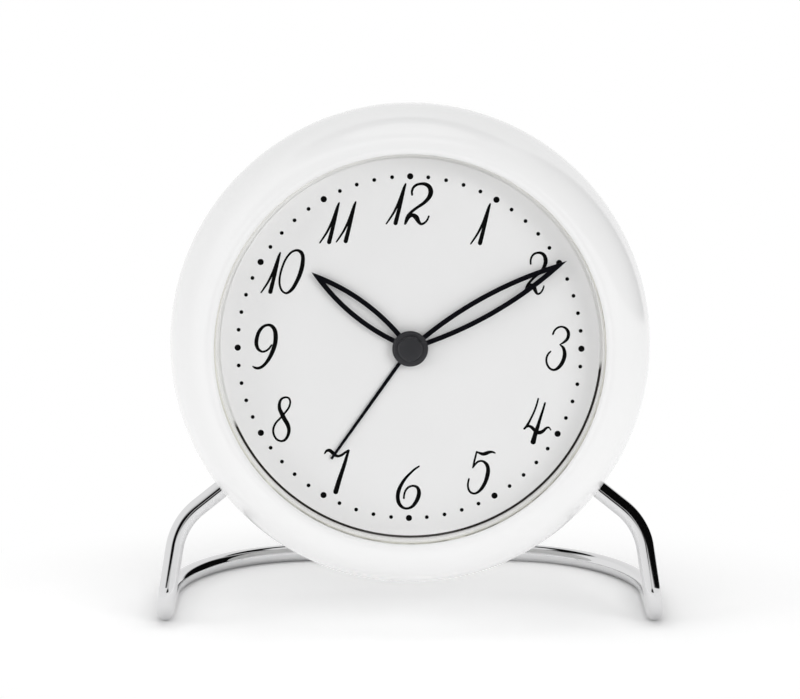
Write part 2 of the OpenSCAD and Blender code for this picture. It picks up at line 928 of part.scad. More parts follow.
module coil_core() {
    color("silver")
        on_axis()
            plate(core_depth, core_depth + core_t)
                translate([stator_left, coil_y - core_w / 2])
                    square([stator_w, core_w]);
}

// Winding on the core
module coil() {
    color("peru")
        on_axis()
            translate([stator_left + (stator_w - coil_len) / 2, coil_y, 0])
                at_depth(core_depth + core_t / 2)
                    rotate([0, 90, 0])
                        difference() {
                            cylinder(r = coil_r, h = coil_len);
                            translate([0, 0, coil_len / 2])
                                cube([core_t + fit, core_w + fit, coil_len + 2 * over], center = true);
                        }
}

module circuit_board() {
    color("darkgreen")
        on_axis()
            plate(board_depth, board_depth + board_t)
                translate([board_left, board_bottom])
                    square([board_w, board_h]);
}

// Blob of resin over the control chip
module control_chip() {
    color("black")
        on_axis()
            translate(chip_at)
                disc(chip_r, board_depth - chip_h, board_depth);
}

module quartz_crystal() {
    color("silver")
        on_axis()
            translate(crystal_at)
                at_depth(board_depth - crystal_r)
                    rotate([0, 90, 0])
                        cylinder(r = crystal_r, h = crystal_len);
}

// Arbor from the plate to a knob behind the back cover
module knob_arbor(at) {
    translate(at)
        disc(arbor_r, plate_back - plate_t / 2, case_depth + knob_gap + knob_h - knob_floor);
}

module set_arbor() {
    color("goldenrod")
        on_axis()
            knob_arbor(motion_at);
}

// Arbor of the alarm knob, with the pinion that turns the alarm wheel
module alarm_arbor() {
    color("goldenrod")
        on_axis()
            union() {
                knob_arbor(alarm_at);
                translate(alarm_at)
                    gear(alarm_pinion_teeth, motion_module, alarm_wheel_depth,
                        alarm_wheel_depth + wheel_t, facing_gap(alarm_arbor_angle, alarm_pinion_teeth));
            }
}

// Fluted knob on an arbor
module knob(at) {
    back = case_depth + knob_gap + knob_h;
    translate(at)
        difference() {
            plate(case_depth + knob_gap, back)
                difference() {
                    circle(r = knob_r);
                    for (i = [0:knob_flutes - 1])
                        rotate(i * 360 / knob_flutes)
                            translate([knob_r + flute_r / 3, 0])
                                circle(r = flute_r);
                }
            disc(arbor_r, case_depth, back - knob_floor);
        }
}

module set_knob() {
    color("white")
        on_axis()
            knob(motion_at);
}

module alarm_knob() {
    color("white")
        on_axis()
            knob(alarm_at);
}

// Switch that slides along a slot in the back cover, drawn at its off end
module alarm_switch() {
    plate_front = cover_front - switch_gap - switch_plate[2];
    button_front = case_depth + switch_gap;
    color("white")
        on_axis()
            translate([-switch_travel / 2, switch_y])
                union() {
                    plate(plate_front, plate_front + switch_plate[2])
                        square([switch_plate[0], switch_plate[1]], center = true);
                    plate(plate_front + switch_plate[2], button_front)
                        square(switch_neck, center = true);
                    plate(button_front, button_front + switch_button[2])
                        rounded_square(switch_button[0], switch_button[1], switch_neck[1] / 2);
                }
}

module buzzer() {
    color("goldenrod")
        on_axis()
            translate([0, buzzer_y])
                disc(buzzer_r, cover_front - buzzer_h, cover_front);
}

// Back cover, with the battery tray on its inner side
module back_cover() {
    color("whitesmoke")
        on_axis()
            difference() {
                union() {
                    disc(cover_r, cover_front, case_depth);
                    plate(tray_floor - tray_wall, cover_front)
                        translate([0, battery_y])
                            square([tray_in_w, tray_in_h] + 2 * [tray_wall, tray_wall], center = true);
                }
                plate(tray_floor, case_depth + over)
                    translate([0, battery_y])
                        square([tray_in_w, tray_in_h], center = true);
                plate(case_depth - door_t, case_depth + over)
                    translate([0, battery_y])
                        square([tray_in_w, tray_in_h] + 2 * [door_ledge, door_ledge], center = true);
                for (p = [motion_at, alarm_at])
                    translate(p)
                        disc(arbor_r + play, cover_front - over, case_depth + over);
                at_cover_screws() {
                    disc(screw_r + fit, cover_front - over, case_depth + over);
                    disc(screw_head_r + fit, case_depth - screw_head_h, case_depth + over);
                }
                translate([0, battery_y + tray_in_h / 2 + door_ledge])
                    disc(thumb_r, case_depth - door_t, case_depth + over);
                plate(cover_front - over, case_depth + over)
                    translate([0, switch_y])
                        square(switch_neck + [switch_travel, 0] + 2 * [switch_play, fit], center = true);
                translate([0, buzzer_y])
                    for (ring = [0:sound_rings], i = [0:max(0, 6 * ring - 1)])
                        translate(polar(ring * sound_spacing, i * 60 / max(1, ring)))
                            disc(sound_r, cover_front - over, case_depth + over);
            }
}

// Three screws through the back cover into the bosses of the case
module cover_screws() {
    color("lightgray")
        on_axis()
            at_cover_screws() {
                disc(screw_r, cover_front - screw_len, case_depth - screw_head_h);
                disc(screw_head_r, case_depth - screw_head_h, case_depth);
            }
}

module battery_door() {
    color("whitesmoke")
        on_axis()
            plate(case_depth - door_t, case_depth)
                translate([0, battery_y])
                    square([tray_in_w, tray_in_h] + 2 * [door_ledge - door_gap, door_ledge - door_gap],
                        center = true);
}

module battery() {
    color("olivedrab")
        on_axis()
            translate([-battery_len / 2, battery_y, 0])
                at_depth(battery_depth)
                    rotate([0, 90, 0])
                        union() {
                            cylinder(r = battery_r, h = battery_len);
                            cylinder(r = nub_r, h = battery_len + nub_h);
                        }
}

// A strip of spring metal across the end of the battery, from a drawing of X and depth
module contact_strip() {
    on_axis()
        translate([0, battery_y + contact_w / 2, 0])
            rotate([90, 0, 0])
                linear_extrude(height = contact_w)
                    children();
}

module contact_plus() {
    near = battery_len / 2 + nub_h;
    color("gold")
        contact_strip()
            union() {
                translate([near, -battery_depth - contact_w / 2])
                    square([contact_t, contact_w]);
                translate([near, -battery_depth + contact_w / 2 - contact_t])
                    square([tray_in_w / 2 - near, contact_t]);
            }
}

// Bowed spring at the flat end of the battery
module contact_minus() {
    bow_r = contact_w * 2 / 3;
    color("gold")
        contact_strip()
            union() {
                translate([-tray_in_w / 2, -battery_depth - contact_w / 2])
                    square([contact_t, contact_w]);
                intersection() {
                    translate([-battery_len / 2 - bow_r, -battery_depth])
                        difference() {
                            circle(r = bow_r);
                            circle(r = bow_r - contact_t);
                        }
                    translate([-tray_in_w / 2 + contact_t / 2, -battery_depth - contact_w / 2])
                        square([contact_w, contact_w]);
                }
            }
}

case_shell();
glass();
glass_gasket();
dial_ring();
dial();
dial_carrier();
stand_wire();
minute_hand();
hour_hand();
alarm_hand();
hub_cap();
movement_plate();
movement_housing();
movement_screws();
minute_shaft();
minute_wheel();
hour_wheel();
alarm_wheel();
centre_wheel();
third_wheel();
rotor();
stator();
coil_core();
coil();
circuit_board();
control_chip();
quartz_crystal();
set_arbor();
alarm_arbor();
set_knob();
alarm_knob();
alarm_switch();
buzzer();
back_cover();
cover_screws();
battery_door();
battery();
contact_plus();
contact_minus();
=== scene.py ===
"""Dresses the table clock: a glossy white case on one bent chromed wire, leaning back six degrees.

Lengths are in millimetres until a mesh is made, and metres from there on.
"""

import json
import logging
import math
from collections.abc import Iterable, Sequence
from dataclasses import dataclass
from enum import Enum

import bmesh
import bpy
import numpy as np
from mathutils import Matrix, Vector

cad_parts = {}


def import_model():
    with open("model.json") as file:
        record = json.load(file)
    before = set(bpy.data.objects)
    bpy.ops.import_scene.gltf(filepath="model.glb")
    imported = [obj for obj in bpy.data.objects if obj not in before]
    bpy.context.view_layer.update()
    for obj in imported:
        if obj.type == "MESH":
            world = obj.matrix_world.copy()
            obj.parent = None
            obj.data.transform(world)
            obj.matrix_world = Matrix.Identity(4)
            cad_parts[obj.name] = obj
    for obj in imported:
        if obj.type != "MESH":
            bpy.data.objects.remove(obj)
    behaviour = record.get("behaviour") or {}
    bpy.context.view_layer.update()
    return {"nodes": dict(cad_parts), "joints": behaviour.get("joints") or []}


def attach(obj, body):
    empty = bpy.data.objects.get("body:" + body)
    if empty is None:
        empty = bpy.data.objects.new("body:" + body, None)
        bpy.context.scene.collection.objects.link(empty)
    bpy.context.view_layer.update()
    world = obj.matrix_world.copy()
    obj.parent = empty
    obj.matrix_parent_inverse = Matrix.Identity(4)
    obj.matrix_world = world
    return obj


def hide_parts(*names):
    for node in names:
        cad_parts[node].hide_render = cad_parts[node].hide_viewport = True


log = logging.getLogger("table_clock")
MM = 0.001
MERGE_M = 1e-8
FULL_TURN = 2 * math.pi
SHARP_DEG = 35.0
MINUTES, HOURS = 60, 12
LEAN_DEG = 6.0
DIAL_CENTRE_MM = (0.0, -28.8865, 66.6666)
DRAWN_STRETCH = (0.05, 1.0, 1.0)
TONE_PLACES = (0.3, 0.7)
WAVE_LENGTH = 0.314
TINY = 1e-9
MIRROR = np.array([-1.0, 1.0, 1.0])

Pair = tuple[float, float]
Triple = tuple[float, float, float]
Colour = Triple
Stops = Sequence[tuple[float, float | Colour]]
Stroke = tuple[tuple[int, int, int], ...]
Piece = bpy.types.Object
Array = np.ndarray
Socket = bpy.types.NodeSocket


# ---------------------------------------------------------------- the clock's own frame


@dataclass(frozen=True)
class DialFrame:
    """The dial's leaning frame: x to three o'clock, y to twelve, depth backward from the glass.

    Attributes:
        centre: the dial's axis where it meets the glass's outer face, in millimetres.
        back: unit vector along the axis, away from the viewer.
        up: unit vector to twelve o'clock.
    """

    centre: Array
    back: Array
    up: Array

    @classmethod
    def from_joint(cls, joint: dict, glass: Piece) -> "DialFrame":
        """Takes the axis from a hinge and the zero of depth from the glass's nearest face.

        Args:
            joint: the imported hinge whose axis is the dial's.
            glass: the glass node.

        Returns:
            The dial's frame.
        """
        back = np.array(joint["axis"], float)
        back *= math.copysign(1, back[1]) / np.linalg.norm(back)
        flat = np.empty(len(glass.data.vertices) * 3, np.float32)
        glass.data.vertices.foreach_get("co", flat)
        on_axis = np.array(joint["pos_m"], float) / MM
        face = ((flat.reshape(-1, 3).astype(float) / MM - on_axis) @ back).min()
        return cls(on_axis + back * face, back, np.array([0.0, -back[2], back[1]]))

    def place(self, x: Array, y: Array, depth: Array) -> Array:
        """Returns world points for clock coordinates: centre + x right + y up + depth back."""
        x, y, depth = (v[..., None] for v in np.broadcast_arrays(x, y, depth))
        return self.centre + x * np.array([1.0, 0.0, 0.0]) + y * self.up + depth * self.back

    def round(self, at: Pair, radius: Array, a: Array, depth: Array) -> Array:
        """Returns world points at (radius cos a, radius sin a) from a place on the dial."""
        return self.place(at[0] + radius * np.cos(a), at[1] + radius * np.sin(a), depth)


# ---------------------------------------------------------------- surfaces


@dataclass
class Surface:
    """Points and faces of one or more closed shapes.

    Attributes:
        points: rows of x, y and z in millimetres.
        faces: each face as the numbers of its points.
    """

    points: Array
    faces: list[tuple[int, ...]]

    @classmethod
    def grid(cls, points: Array, ends: bool = False, ring: bool = False) -> "Surface":
        """Joins a grid of points, whose last column meets its first, by four-sided faces.

        Args:
            points: an array of rows, columns and x, y, z.
            ends: whether the first and last rows are closed by one face each.
            ring: whether the last row meets the first.

        Returns:
            The surface, turned so that its faces look outward.
        """
        rows, cols = points.shape[:2]
        number = np.arange(rows * cols).reshape(rows, cols)
        number = np.concatenate([number, number[:, :1]], axis=1)
        if ring:
            number = np.concatenate([number, number[:1]])
        quads = np.stack([number[:-1, :-1], number[:-1, 1:], number[1:, 1:], number[1:, :-1]], -1)
        faces = [tuple(q) for q in quads.reshape(-1, 4).tolist()]
        if ends:
            faces.append(tuple(reversed(range(cols))))
            faces.append(tuple(range((rows - 1) * cols, rows * cols)))
        return cls(points.reshape(-1, 3), faces).outward()

    def outward(self) -> "Surface":
        """Turns every face round if the enclosed volume comes out negative.

        The volume is the sum, over the faces cut into fans, of the triple product of three points.

        Returns:
            The same surface.
        """
        fans = np.array([(f[0], f[i], f[i + 1]) for f in self.faces for i in range(1, len(f) - 1)])
        a, b, c = (self.points[fans[:, k]] for k in range(3))
        if np.einsum("ij,ij->i", a, np.cross(b, c)).sum() < 0:
            self.faces = [tuple(reversed(f)) for f in self.faces]
        return self

    @classmethod
    def together(cls, parts: Iterable["Surface"]) -> "Surface":
        """Puts several surfaces into one.

        Args:
            parts: the surfaces.

        Returns:
            One list of points and faces.
        """
        points, faces, start = [], [], 0
        for part in parts:
            points.append(part.points)
            faces += [tuple(n + start for n in f) for f in part.faces]
            start += len(part.points)
        return cls(np.concatenate(points), faces)

    def piece(self, name: str) -> Piece:
        """Makes a smooth-shaded object of the surface, with its place in its mesh.

        Args:
            name: the object's name.

        Returns:
            The new object.
        """
        mesh = bpy.data.meshes.new(name)
        mesh.from_pydata((self.points * MM).tolist(), [], self.faces)
        work = bmesh.new()
        work.from_mesh(mesh)
        bmesh.ops.remove_doubles(work, verts=work.verts, dist=MERGE_M)
        work.to_mesh(mesh)
        work.free()
        mesh.validate()
        shade(mesh)
        made = bpy.data.objects.new(name, mesh)
        bpy.context.scene.collection.objects.link(made)
        return made


def shade(mesh: bpy.types.Mesh) -> None:
    """Shades a mesh smooth, apart from edges that turn by more than the sharp angle."""
    mesh.shade_smooth()
    mesh.set_sharp_from_angle(angle=math.radians(SHARP_DEG))


def cut_through(piece: Piece, cutter: Surface) -> None:
    """Takes a cutter's volume out of a piece and keeps the result as the piece's own mesh.

    Args:
        piece: the object to cut.
        cutter: a closed surface.
    """
    tool = cutter.piece("cutter")
    cut = piece.modifiers.new("cut", "BOOLEAN")
    cut.operation, cut.solver, cut.object = "DIFFERENCE", "EXACT", tool
    seen = piece.evaluated_get(bpy.context.evaluated_depsgraph_get())
    mesh = bpy.data.meshes.new_from_object(seen)
    piece.modifiers.clear()
    spare = (piece.data, tool.data)
    piece.data = mesh
    bpy.data.objects.remove(tool)
    for unused in spare:
        bpy.data.meshes.remove(unused)
    shade(mesh)


def circle(steps: int) -> Array:
    """Returns angles that are spread evenly over a full turn."""
    return np.linspace(0, FULL_TURN, steps, endpoint=False)


def arc(centre: Pair, radii: Pair, start_deg: float, end_deg: float, steps: int) -> Array:
    """Points of an elliptic arc: centre + (rx cos a, ry sin a), with a going from start to end."""
    a = np.radians(np.linspace(start_deg, end_deg, steps + 1))
    return np.stack([centre[0] + radii[0] * np.cos(a), centre[1] + radii[1] * np.sin(a)], -1)


def swept(path: Array, side: Array, other: Array, radius: float, steps: int) -> Surface:
    """Carries a circle along a path: point (i, j) = path_i + r (side_i cos a_j + other_i sin a_j).

    Args:
        path: rows of x, y and z.
        side: a unit vector across the path, at each row or one for all.
        other: the unit vector across both.
        radius: the circle's radius.
        steps: points round the circle.

    Returns:
        The closed tube.
    """
    a = circle(steps)[None, :, None]
    points = path[:, None] + radius * (side[:, None] * np.cos(a) + other[:, None] * np.sin(a))
    return Surface.grid(points, ends=True)


def rod(start: Array, end: Array, radius: float, steps: int) -> Surface:
    """Makes a plain round bar between two points, as a socket or a drill needs it.

    Args:
        start: its one end.
        end: its other end.
        radius: its radius.
        steps: points round the circle.

    Returns:
        The closed bar.
    """
    along = (end - start) / np.linalg.norm(end - start)
    side = np.cross(along, [0.0, 1.0, 0.0])
    side /= np.linalg.norm(side)
    return swept(np.stack([start, end]), side[None], np.cross(along, side)[None], radius, steps)


# ---------------------------------------------------------------- finishes


def lighter(colour: Colour, factor: float) -> Colour:
    """Returns a colour multiplied by a factor and kept under one."""
    return tuple(min(1.0, c * factor) for c in colour)


def rgba(colour: float | Colour) -> tuple[float, ...]:
    """Returns a colour, or the grey of a level, with full opacity."""
    return (*(colour if isinstance(colour, tuple) else (colour,) * 3), 1.0)


class Nodes:
    """A node tree under construction."""

    def __init__(self, tree: bpy.types.NodeTree) -> None:
        """Empties the tree."""
        self.tree = tree
        tree.nodes.clear()

    def add(self, kind: str, sockets: dict[str | int, object] | None = None,
            **settings: object) -> bpy.types.Node:
        """Adds a node, sets its properties and feeds its sockets.

        Args:
            kind: the node's type, without the word that all begin with.
            sockets: for each socket's name or number, the socket to link it from or its value.
            **settings: the node's own properties.

        Returns:
            The new node.
        """
        node = self.tree.nodes.new("ShaderNode" + kind)
        for key, value in settings.items():
            setattr(node, key, value)
        for key, value in (sockets or {}).items():
            socket = node.inputs[key]
            if isinstance(value, Socket):
                self.tree.links.new(value, socket)
            else:
                socket.default_value = rgba(value) if socket.type == "RGBA" else value
        return node

    def math(self, operation: str, *values: Socket | float) -> Socket:
        """Returns the result of an operation on values."""
        return self.add("Math", dict(enumerate(values)), operation=operation).outputs[0]

    def mix(self, share: Socket, first: Socket | float, second: Socket | float) -> Socket:
        """Returns a blend of two greys, all the second where the share is one."""
        return self.add("MixRGB", {0: share, 1: first, 2: second}).outputs["Color"]

    def ranged(self, value: Socket, low: float, high: float) -> Socket:
        """Returns a value of nought to one mapped to a range."""
        span = {"Value": value, "To Min": low, "To Max": high}
        return self.add("MapRange", span).outputs["Result"]

    def share(self, value: Socket, start: float, end: float, **settings: object) -> Socket:
        """Returns nought to one as the value goes from start to end."""
        span = {"Value": value, "From Min": start, "From Max": end}
        return self.add("MapRange", span, **settings).outputs["Result"]

    def ramp(self, value: Socket, stops: Stops) -> Socket:
        """Runs a colour or a grey through stops.

        Args:
            value: the place along the ramp.
            stops: places with their colours or grey levels.

        Returns:
            The colour at the place.
        """
        node = self.add("ValToRGB", {"Fac": value})
        elements = node.color_ramp.elements
        while len(elements) < len(stops):
            elements.new(1.0)
        for element, (place, colour) in zip(elements, stops):
            element.position, element.color = place, rgba(colour)
        return node.outputs["Color"]


class Shader(Nodes):
    """A material under construction, with its object coordinates."""

    def __init__(self, name: str) -> None:
        """Starts a material of that name."""
        self.material = bpy.data.materials.new(name)
        self.material.use_nodes = True
        super().__init__(self.material.node_tree)
        self.place = self.add("TexCoord").outputs["Object"]

    def noise(self, grain_mm: float, detail: float, stretch: Triple = (1.0, 1.0, 1.0)) -> Socket:
        """Returns a soft random value with grains of that size, stretched along the axes."""
        place = self.add("Mapping", {"Vector": self.place, "Scale": stretch}).outputs["Vector"]
        grain = {"Vector": place, "Scale": 1 / grain_mm / MM, "Detail": detail}
        return self.add("TexNoise", grain).outputs["Fac"]

    def blend(self, share: Socket, first: Socket, second: Socket) -> Socket:
        """Returns a blend of two shaders, all the second where the share is one."""
        return self.add("MixShader", {0: share, 1: first, 2: second}).outputs["Shader"]

    def done(self, surface: Socket) -> bpy.types.Material:
        """Gives the material its surface and returns it."""
        self.add("OutputMaterial", {"Surface": surface})
        return self.material


class Texture(Enum):
    """How the fine relief of a surface runs."""

    EVEN = "even grain"
    DRAWN = "lines along x"
    TURNED = "rings about the dial's axis"


@dataclass(frozen=True)
class Finish:
    """A surface finish, from which a material is made.

    Attributes:
        rough: roughness in the middle of its range.
        metal: one for bare metal, nought for the rest.
        coat: weight of the clear coat.
        vary: how far the colour strays, as a share.
        rough_vary: how far the roughness strays.
        blotch_mm: size of the slow variation of colour.
        grain_mm: size of the fine relief.
        relief_mm: depth of the fine relief.
        texture: how the relief runs.
        specular: level of the plain reflection.
    """

    name: str
    colour: Colour
    rough: float = 0.4
    metal: float = 0.0
    coat: float = 0.0
    vary: float = 0.03
    rough_vary: float = 0.05
    blotch_mm: float = 12.0
    grain_mm: float = 0.4
    relief_mm: float = 0.004
    texture: Texture = Texture.EVEN
    specular: float = 0.5

    def tone(self, shader: Shader) -> Socket:
        """Returns the colour over the surface, which strays slowly from darker to lighter."""
        ends = (lighter(self.colour, 1 - self.vary), lighter(self.colour, 1 + self.vary))
        return shader.ramp(shader.noise(self.blotch_mm, 3.0), tuple(zip(TONE_PLACES, ends)))

    def relief(self, shader: Shader) -> Socket:
        """Returns the height field of the fine relief.

        Args:
            shader: the material under construction.

        Returns:
            Rings about the dial's axis, or a noise that a drawn surface stretches along x.
        """
        if self.texture is not Texture.TURNED:
            stretch = {"stretch": DRAWN_STRETCH} if self.texture is Texture.DRAWN else {}
            return shader.noise(self.grain_mm, 4.0, **stretch)
        axis = {"Vector": shader.place, "Location": [v * MM for v in DIAL_CENTRE_MM],
                "Rotation": (-math.radians(LEAN_DEG), 0, 0)}
        rings = {"Vector": shader.add("Mapping", axis, vector_type="TEXTURE").outputs["Vector"],
                 "Scale": 1 / self.grain_mm / MM / 4, "Distortion": 1.5, "Detail": 2.0}
        wave = shader.add("TexWave", rings, wave_type="RINGS", rings_direction="Y")
        return wave.outputs["Fac"]

    def material(self) -> bpy.types.Material:
        """Makes the material.

        Returns:
            A material with uneven colour and roughness and with fine relief.
        """
        shader = Shader(self.name)
        fine = self.relief(shader)
        rough = shader.ranged(fine, self.rough - self.rough_vary, self.rough + self.rough_vary)
        height = {"Height": fine, "Distance": self.relief_mm * MM, "Strength": 1.0}
        return shader.done(shader.add("BsdfPrincipled", {
            "Base Color": self.tone(shader), "Roughness": rough, "Metallic": self.metal,
            "Coat Weight": self.coat, "Specular IOR Level": self.specular,
            "Normal": shader.add("Bump", height).outputs["Normal"]}).outputs["BSDF"])


@dataclass(frozen=True)
class LitAndShadedTone(Finish):
    """A moulding painted with light and shade: pale above, as painted light where light falls on
    it, and dark below, as painted shade in the gap round the dial.

    Attributes:
        split_mm: height at which the colours meet, in the middle of the clock.
        slope: how far that height rises for each step to the right.
        soft_mm: half the height in which they blend.
    """

    # painted light: the pale colour above the split; the finish's own colour below it is painted
    # shade
    painted_light_colour: Colour = (0.97, 0.97, 0.96)
    split_mm: float = 55.1
    slope: float = 0.16
    soft_mm: float = 1.0

    def tone(self, shader: Shader) -> Socket:
        """Blends the colours by z less slope times x, from split - soft to split + soft.

        Args:
            shader: the material under construction.

        Returns:
            The colour over the surface.
        """
        parts = shader.add("SeparateXYZ", {"Vector": shader.place}).outputs
        height = shader.math("MULTIPLY_ADD", parts["X"], -self.slope, parts["Z"])
        low, high = (self.split_mm - self.soft_mm) * MM, (self.split_mm + self.soft_mm) * MM
        return shader.ramp(shader.share(height, low, high),
                           ((0.0, self.colour), (1.0, self.painted_light_colour)))


@dataclass(frozen=True)
class Windings(Finish):
    """Enamelled wire wound close, whose turns show as fine bands along x."""

    turn_mm: float = 0.35

    def relief(self, shader: Shader) -> Socket:
        """Returns bands along x, one wave of the texture for every turn of the wire."""
        bands = {"Vector": shader.place, "Scale": WAVE_LENGTH / self.turn_mm / MM,
                 "Distortion": 0.4}
        return shader.add("TexWave", bands, bands_direction="X").outputs["Fac"]


@dataclass(frozen=True)
class SolderMask(Finish):
    """Board lacquer over copper tracks, which show as paler lines like the joints of a wall."""

    track_colour: Colour = (0.16, 0.42, 0.2)
    track_share: float = 0.045
    cell_mm: float = 2.6

    def tone(self, shader: Shader) -> Socket:
        """Returns the blocks in two close shades with the tracks between them."""
        turn = shader.add("Mapping", {"Vector": shader.place, "Rotation": (math.pi / 2, 0, 0)})
        return shader.add("TexBrick", {
            "Vector": turn.outputs["Vector"], "Scale": 1 / self.cell_mm / MM / 2,
            "Mortar Size": self.track_share, "Mortar": self.track_colour,
            "Color1": self.colour, "Color2": lighter(self.colour, 0.85)}).outputs["Color"]


@dataclass(frozen=True)
class PrintedSleeve(Finish):
    """The battery's foil sleeve, dark with a coppery end and a thin pale line between."""

    end_colour: Colour = (0.55, 0.3, 0.12)
    line_colour: Colour = (0.75, 0.72, 0.62)
    split_mm: float = 12.0
    reach_mm: float = 10.0

    def tone(self, shader: Shader) -> Socket:
        """Runs through the three colours along x.

        Args:
            shader: the material under construction.

        Returns:
            The colour over the surface.
        """
        along = shader.add("SeparateXYZ", {"Vector": shader.place}).outputs["X"]
        share = shader.share(along, (self.split_mm - self.reach_mm) * MM,
                             (self.split_mm + self.reach_mm) * MM)
        places = (0.0, 0.48, 0.485, 0.515, 0.52, 1.0)
        colours = (self.colour,) * 2 + (self.line_colour,) * 2 + (self.end_colour,) * 2
        return shader.ramp(share, tuple(zip(places, colours)))


@dataclass(frozen=True)
class ClearPane:
    """Flat polished glass: clear ahead, with a mirror that grows toward grazing looks.

    Attributes:
        ahead: share reflected by one face when looked at straight.
        growth: power by which the share grows toward grazing looks.
        haze_mm: size of the slow variation of roughness.
        haze_vary: how far the roughness strays, as a share.
    """

    name: str
    tint: Colour = (0.998, 0.998, 0.998)
    rough: float = 0.015
    ahead: float = 0.02
    growth: float = 5.0
    haze_mm: float = 50.0
    haze_vary: float = 0.4

    def material(self) -> bpy.types.Material:
        """Makes the material, whose gloss is ahead + (1 - ahead) facing^growth.

        Returns:
            A transparent material with that gloss over it.
        """
        shader = Shader(self.name)
        clear = shader.add("BsdfTransparent", {"Color": self.tint}).outputs["BSDF"]
        haze = shader.ranged(shader.noise(self.haze_mm, 2.0), self.rough * (1 - self.haze_vary),
                             self.rough * (1 + self.haze_vary))
        gloss = shader.add("BsdfGlossy", {"Roughness": haze}).outputs["BSDF"]
        facing = shader.math("POWER", shader.add("LayerWeight").outputs["Facing"], self.growth)
        return shader.done(shader.blend(shader.ranged(facing, self.ahead, 1.0), clear, gloss))


class Paint:
    """The clock's finishes, each made once."""

    case = Finish("case_lacquer", (0.91, 0.91, 0.91), rough=0.1, rough_vary=0.02, vary=0.006,
                  blotch_mm=25, grain_mm=1.6, relief_mm=0.0012)
    cover = Finish("cover_moulding", (0.8, 0.8, 0.79), rough=0.42, vary=0.012, grain_mm=0.35,
                   relief_mm=0.012)
    knob = Finish("knob_moulding", (0.8, 0.8, 0.795), rough=0.24, vary=0.012, grain_mm=0.5,
                  relief_mm=0.003)
    switch = Finish("switch_moulding", (0.66, 0.66, 0.65), vary=0.02, grain_mm=0.3)
    dial = Finish("dial_paint", (0.92, 0.92, 0.92), rough=0.62, vary=0.008, blotch_mm=18,
                  grain_mm=0.25, relief_mm=0.002, specular=0.3)
    ink = Finish("printing_ink", (0.003, 0.003, 0.003), rough=0.5, vary=0.2, grain_mm=0.15,
                 relief_mm=0.001, specular=0.02)
    hands = Finish("hand_lacquer", (0.003, 0.003, 0.005), rough=0.34, vary=0.15, grain_mm=0.3,
                   relief_mm=0.001, specular=0.05)
    cap = Finish("cap_lacquer", (0.032, 0.032, 0.036), rough=0.3, vary=0.1, grain_mm=0.3,
                 relief_mm=0.001, texture=Texture.TURNED, specular=0.4)
    ring = Finish("ring_moulding", (0.975, 0.97, 0.955), rough=0.5, vary=0.02, grain_mm=0.3)
    gasket = Finish("gasket_rubber", (0.84, 0.83, 0.75), rough=0.7, vary=0.05, grain_mm=0.25,
                    relief_mm=0.01)
    # painted shade and light: the carrier is dark in the lower half of the gap round the dial and
    # pale above, as light falls
    carrier = LitAndShadedTone("carrier_moulding", (0.012, 0.007, 0.005), rough=0.55, grain_mm=0.3)
    chrome = Finish("chrome_plate", (0.73, 0.73, 0.735), rough=0.045, rough_vary=0.015, metal=1.0,
                    vary=0.01, blotch_mm=8, grain_mm=0.9, relief_mm=0.0006)
    steel = Finish("zinc_plate", (0.6, 0.6, 0.6), rough=0.3, metal=1.0, vary=0.05, grain_mm=0.12,
                   relief_mm=0.003)
    spring = Finish("nickel_strip", (0.62, 0.6, 0.56), rough=0.25, metal=1.0, vary=0.05,
                    grain_mm=0.2, texture=Texture.DRAWN)
    iron = Finish("punched_iron", (0.42, 0.42, 0.43), metal=1.0, vary=0.08, grain_mm=0.3,
                  texture=Texture.DRAWN)
    brass = Finish("turned_brass", (0.75, 0.57, 0.27), rough=0.25, metal=1.0, vary=0.04,
                   grain_mm=0.12, relief_mm=0.002, texture=Texture.TURNED)
    magnet = Finish("sintered_magnet", (0.06, 0.06, 0.065), rough=0.6, metal=0.3, vary=0.1,
                    grain_mm=0.15, relief_mm=0.01)
    wheel = Finish("wheel_nylon", (0.78, 0.76, 0.7), rough=0.45, grain_mm=0.3)
    plate = Finish("plate_moulding", (0.62, 0.6, 0.55), rough=0.5, relief_mm=0.008)
    housing = Finish("housing_moulding", (0.025, 0.025, 0.027), rough=0.45, vary=0.1,
                     grain_mm=0.35, relief_mm=0.01)
    resin = Finish("chip_resin", (0.012, 0.012, 0.012), rough=0.15, coat=0.3, vary=0.1,
                   grain_mm=1.0)
    tin = Finish("tin_can", (0.7, 0.7, 0.71), rough=0.2, metal=1.0, grain_mm=0.2,
                 texture=Texture.DRAWN)
    disc = Finish("buzzer_brass", (0.72, 0.56, 0.28), rough=0.35, metal=1.0, vary=0.05,
                  grain_mm=0.2, texture=Texture.TURNED)
    winding = Windings("copper_winding", (0.55, 0.22, 0.1), rough=0.3, metal=0.6, vary=0.1,
                       relief_mm=0.08)
    board = SolderMask("board_lacquer", (0.03, 0.16, 0.07), rough=0.3, coat=0.3)
    sleeve = PrintedSleeve("battery_sleeve", (0.035, 0.05, 0.045), rough=0.28, metal=0.4)
    glass = ClearPane("window_glass")

    def __init__(self) -> None:
        """Starts with no material made."""
        self._made: dict[str, bpy.types.Material] = {}

    def dress(self, piece: Piece, finish: Finish | ClearPane) -> None:
        """Gives a piece or a node the finish in every one of its slots.

        Args:
            piece: the object to dress.
            finish: what to dress it with, whose material is made the first time.
        """
        if finish.name not in self._made:
            self._made[finish.name] = finish.material()
        if not piece.material_slots:
            piece.data.materials.append(None)
        for slot in piece.material_slots:
            slot.material = self._made[finish.name]


# ---------------------------------------------------------------- the clock's sub-assemblies


